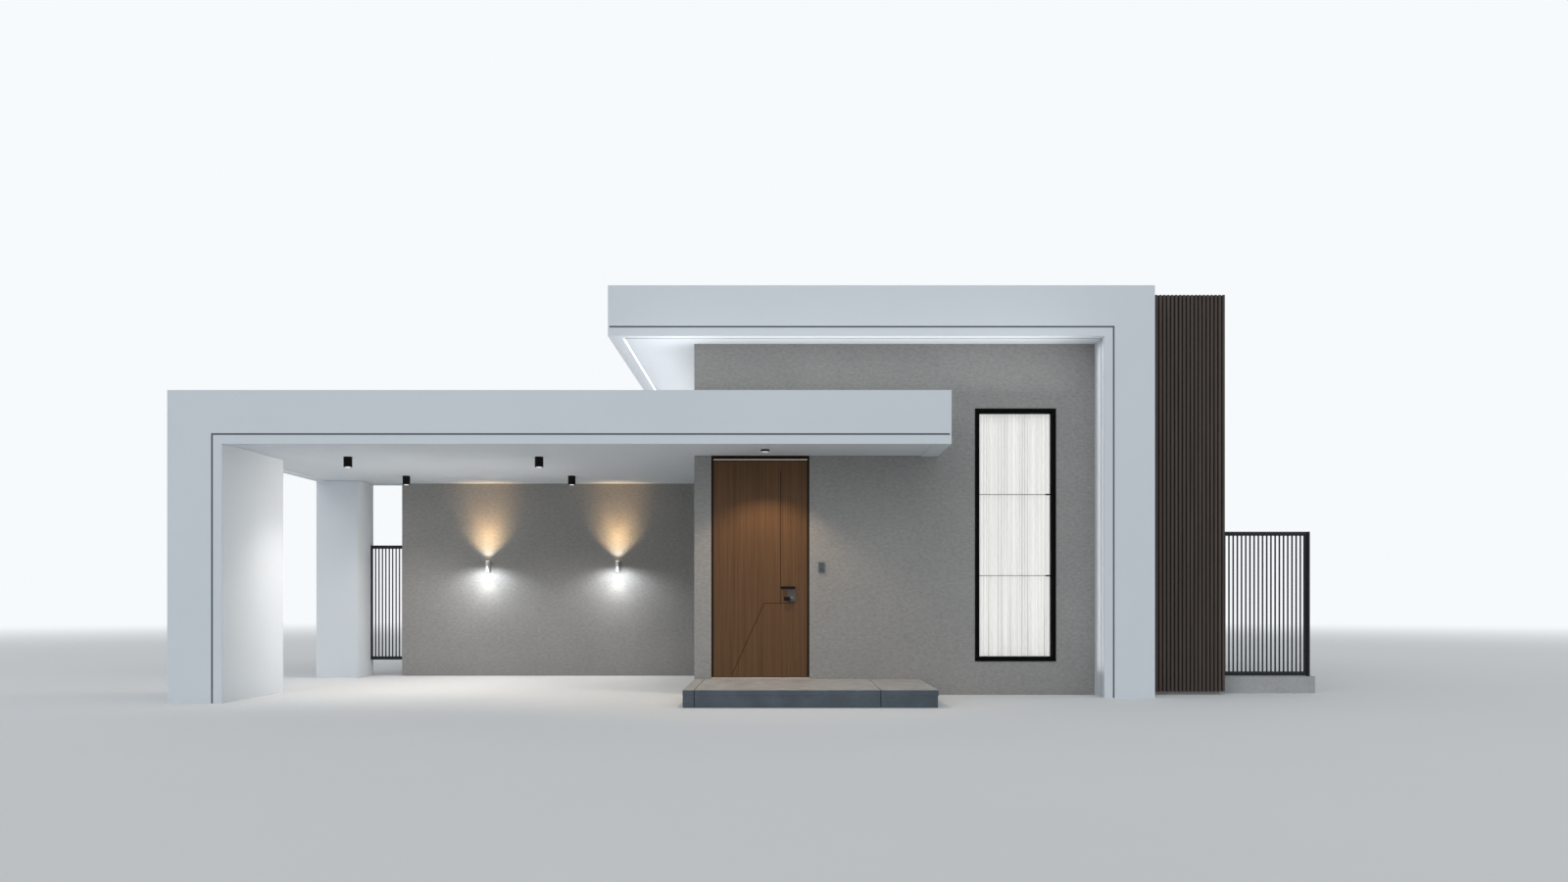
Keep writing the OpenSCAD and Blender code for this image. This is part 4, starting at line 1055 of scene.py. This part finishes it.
def addLamp(name, kind, power, colour, place, turn):
    # A lamp of its kind at its place, turned by radians about X, Y and Z from straight down
    data = bpy.data.lights.new(name, kind)
    data.energy, data.color = power, colour
    lamp = bpy.data.objects.new(name, data)
    lamp.location, lamp.rotation_euler = place, turn
    scene.collection.objects.link(lamp)
    return lamp


def addSun(name, power, spread, tilt, heading, colour):
    # A soft, far lamp; its three angles are in degrees
    turn = (math.radians(tilt), 0.0, math.radians(heading))
    lamp = addLamp(name, "SUN", power, colour, (0.0, 0.0, 0.0), turn)
    lamp.data.angle = math.radians(spread)


def addBeam(name, beam, place, turn=0.0):
    # The light that one of the house's own lamps throws: a cone of spread degrees that fades out over its
    # share soft, turned about X by turn radians from straight down
    data = addLamp(name, "SPOT", beam["power"], beam["colour"], place, (turn, 0.0, 0.0)).data
    data.spot_size, data.spot_blend = math.radians(beam["spread"]), beam["soft"]
    data.shadow_soft_size = 0.02  # Radius of the lamp's own source


def addGlow(name, power, place, size, turn, spread, colour=(1.0, 0.985, 0.98)):
    # A soft flat lamp that the camera doesn't see; its turn about X and Y and its spread are in degrees
    turn = (math.radians(turn[0]), math.radians(turn[1]), 0.0)
    lamp = addLamp(name, "AREA", power, colour, place, turn)
    lamp.data.shape, lamp.data.spread = "RECTANGLE", math.radians(spread)
    lamp.data.size, lamp.data.size_y = size
    lamp.visible_camera = lamp.visible_glossy = lamp.visible_transmission = False


makeFloor()
makeWorld()
addSun("softKey", power=0.76, spread=50.0, tilt=60.0, heading=-24.0, colour=(0.965, 0.985, 1.0))
addSun("softFill", power=0.32, spread=60.0, tilt=70.0, heading=42.0, colour=(0.93, 0.97, 1.0))

# The cones of each wall light. A cone starts away from the wall and over the lamp's middle, shines up where
# it starts above the middle, and leans towards the wall by lean radians
wallBeams = {
    "wallBeamUp": {"power": 4.9, "spread": 106.0, "soft": 0.85, "away": 0.112, "over": 0.086, "lean": 0.285,
                   "colour": (1.0, 0.90, 0.74)},
    "wallBeamHigh": {"power": 22.0, "spread": 86.0, "soft": 1.0, "away": 0.377, "over": 0.140, "lean": 0.737,
                     "colour": (1.0, 0.66, 0.31)},
    "wallBeamTop": {"power": 26.0, "spread": 58.0, "soft": 1.0, "away": 0.214, "over": 0.078, "lean": 0.2,
                    "colour": (1.0, 0.60, 0.30)},
    "wallBeamDown": {"power": 8.0, "spread": 100.0, "soft": 1.0, "away": 0.120, "over": -0.095, "lean": 0.034,
                     "colour": (1.0, 0.95, 0.86)},
    "wallBeamLow": {"power": 20.5, "spread": 168.0, "soft": 0.6, "away": 0.335, "over": -0.023, "lean": 0.241,
                    "colour": (0.93, 0.97, 1.0)}}
for low, high in wallLampBoxes:
    x, wallY, midZ = (low[0] + high[0]) / 2, high[1], (low[2] + high[2]) / 2
    for name, beam in wallBeams.items():
        turn = math.pi - beam["lean"] if beam["over"] > 0 else beam["lean"]
        addBeam(name, beam, (x, wallY - beam["away"], midZ + beam["over"]), turn)

# The cones of the ceiling spots and of the porch light start by drop below the lamp
ceilingBeam = {"power": 64.0, "spread": 116.0, "soft": 0.75, "colour": (1.0, 0.91, 0.80), "drop": 0.012}
porchBeam = {"power": 76.0, "spread": 114.0, "soft": 0.5, "colour": (1.0, 0.78, 0.52), "drop": 0.005}
for low, high in spotBoxes:
    addBeam("ceilingBeam", ceilingBeam, underMiddle(low, high, ceilingBeam["drop"]))
addBeam("porchBeam", porchBeam, underMiddle(*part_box("porch_light"), porchBeam["drop"]))

# Four soft lamps: two lie just over the low roof's rim and light the high soffit, one lights the inner face
# of the carport's leg from the carport's right side, and one lights the inner face of the tall leg
glow = {"overRim": 0.03, "sideIn": 0.48, "porchLeft": 0.25, "porchBack": 0.1, "fillIn": 0.3, "fillZ": 1.5,
        "revealIn": 0.34, "revealFront": 0.05, "revealZ": 2.15, "revealEnds": 0.16}
rimZ = carHigh[2] + glow["overRim"]
addGlow("sideRoofGlow", 30.0, (carHigh[0] - glow["sideIn"], (carLow[1] + wingHigh[1]) / 2, rimZ),
        size=(0.80, 9.6), turn=(180.0, 0.0), spread=110.0)
porchX = (porchLow[0] + tallLow[0]) / 2 - glow["porchLeft"]
porchY = (porchLow[1] + porchHigh[1]) / 2 + glow["porchBack"]
addGlow("porchRoofGlow", 17.0, (porchX, porchY, rimZ), size=(4.6, 0.8), turn=(180.0, 0.0), spread=110.0)
addGlow("carportFill", 34.0, (carHigh[0] - glow["fillIn"], (carLow[1] + carHigh[1]) / 2, glow["fillZ"]),
        size=(1.4, 2.6), turn=(0.0, 90.0), spread=70.0, colour=(1.0, 0.93, 0.87))
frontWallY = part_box("front_wall")[0][1]
revealY = (tallLow[1] + frontWallY) / 2 - glow["revealFront"]
addGlow("revealFill", 1.9, (tallLow[0] - glow["revealIn"], revealY, glow["revealZ"]),
        size=(3.7, frontWallY - tallLow[1] - glow["revealEnds"]), turn=(0.0, -90.0), spread=28.0)
print("stage and light done")
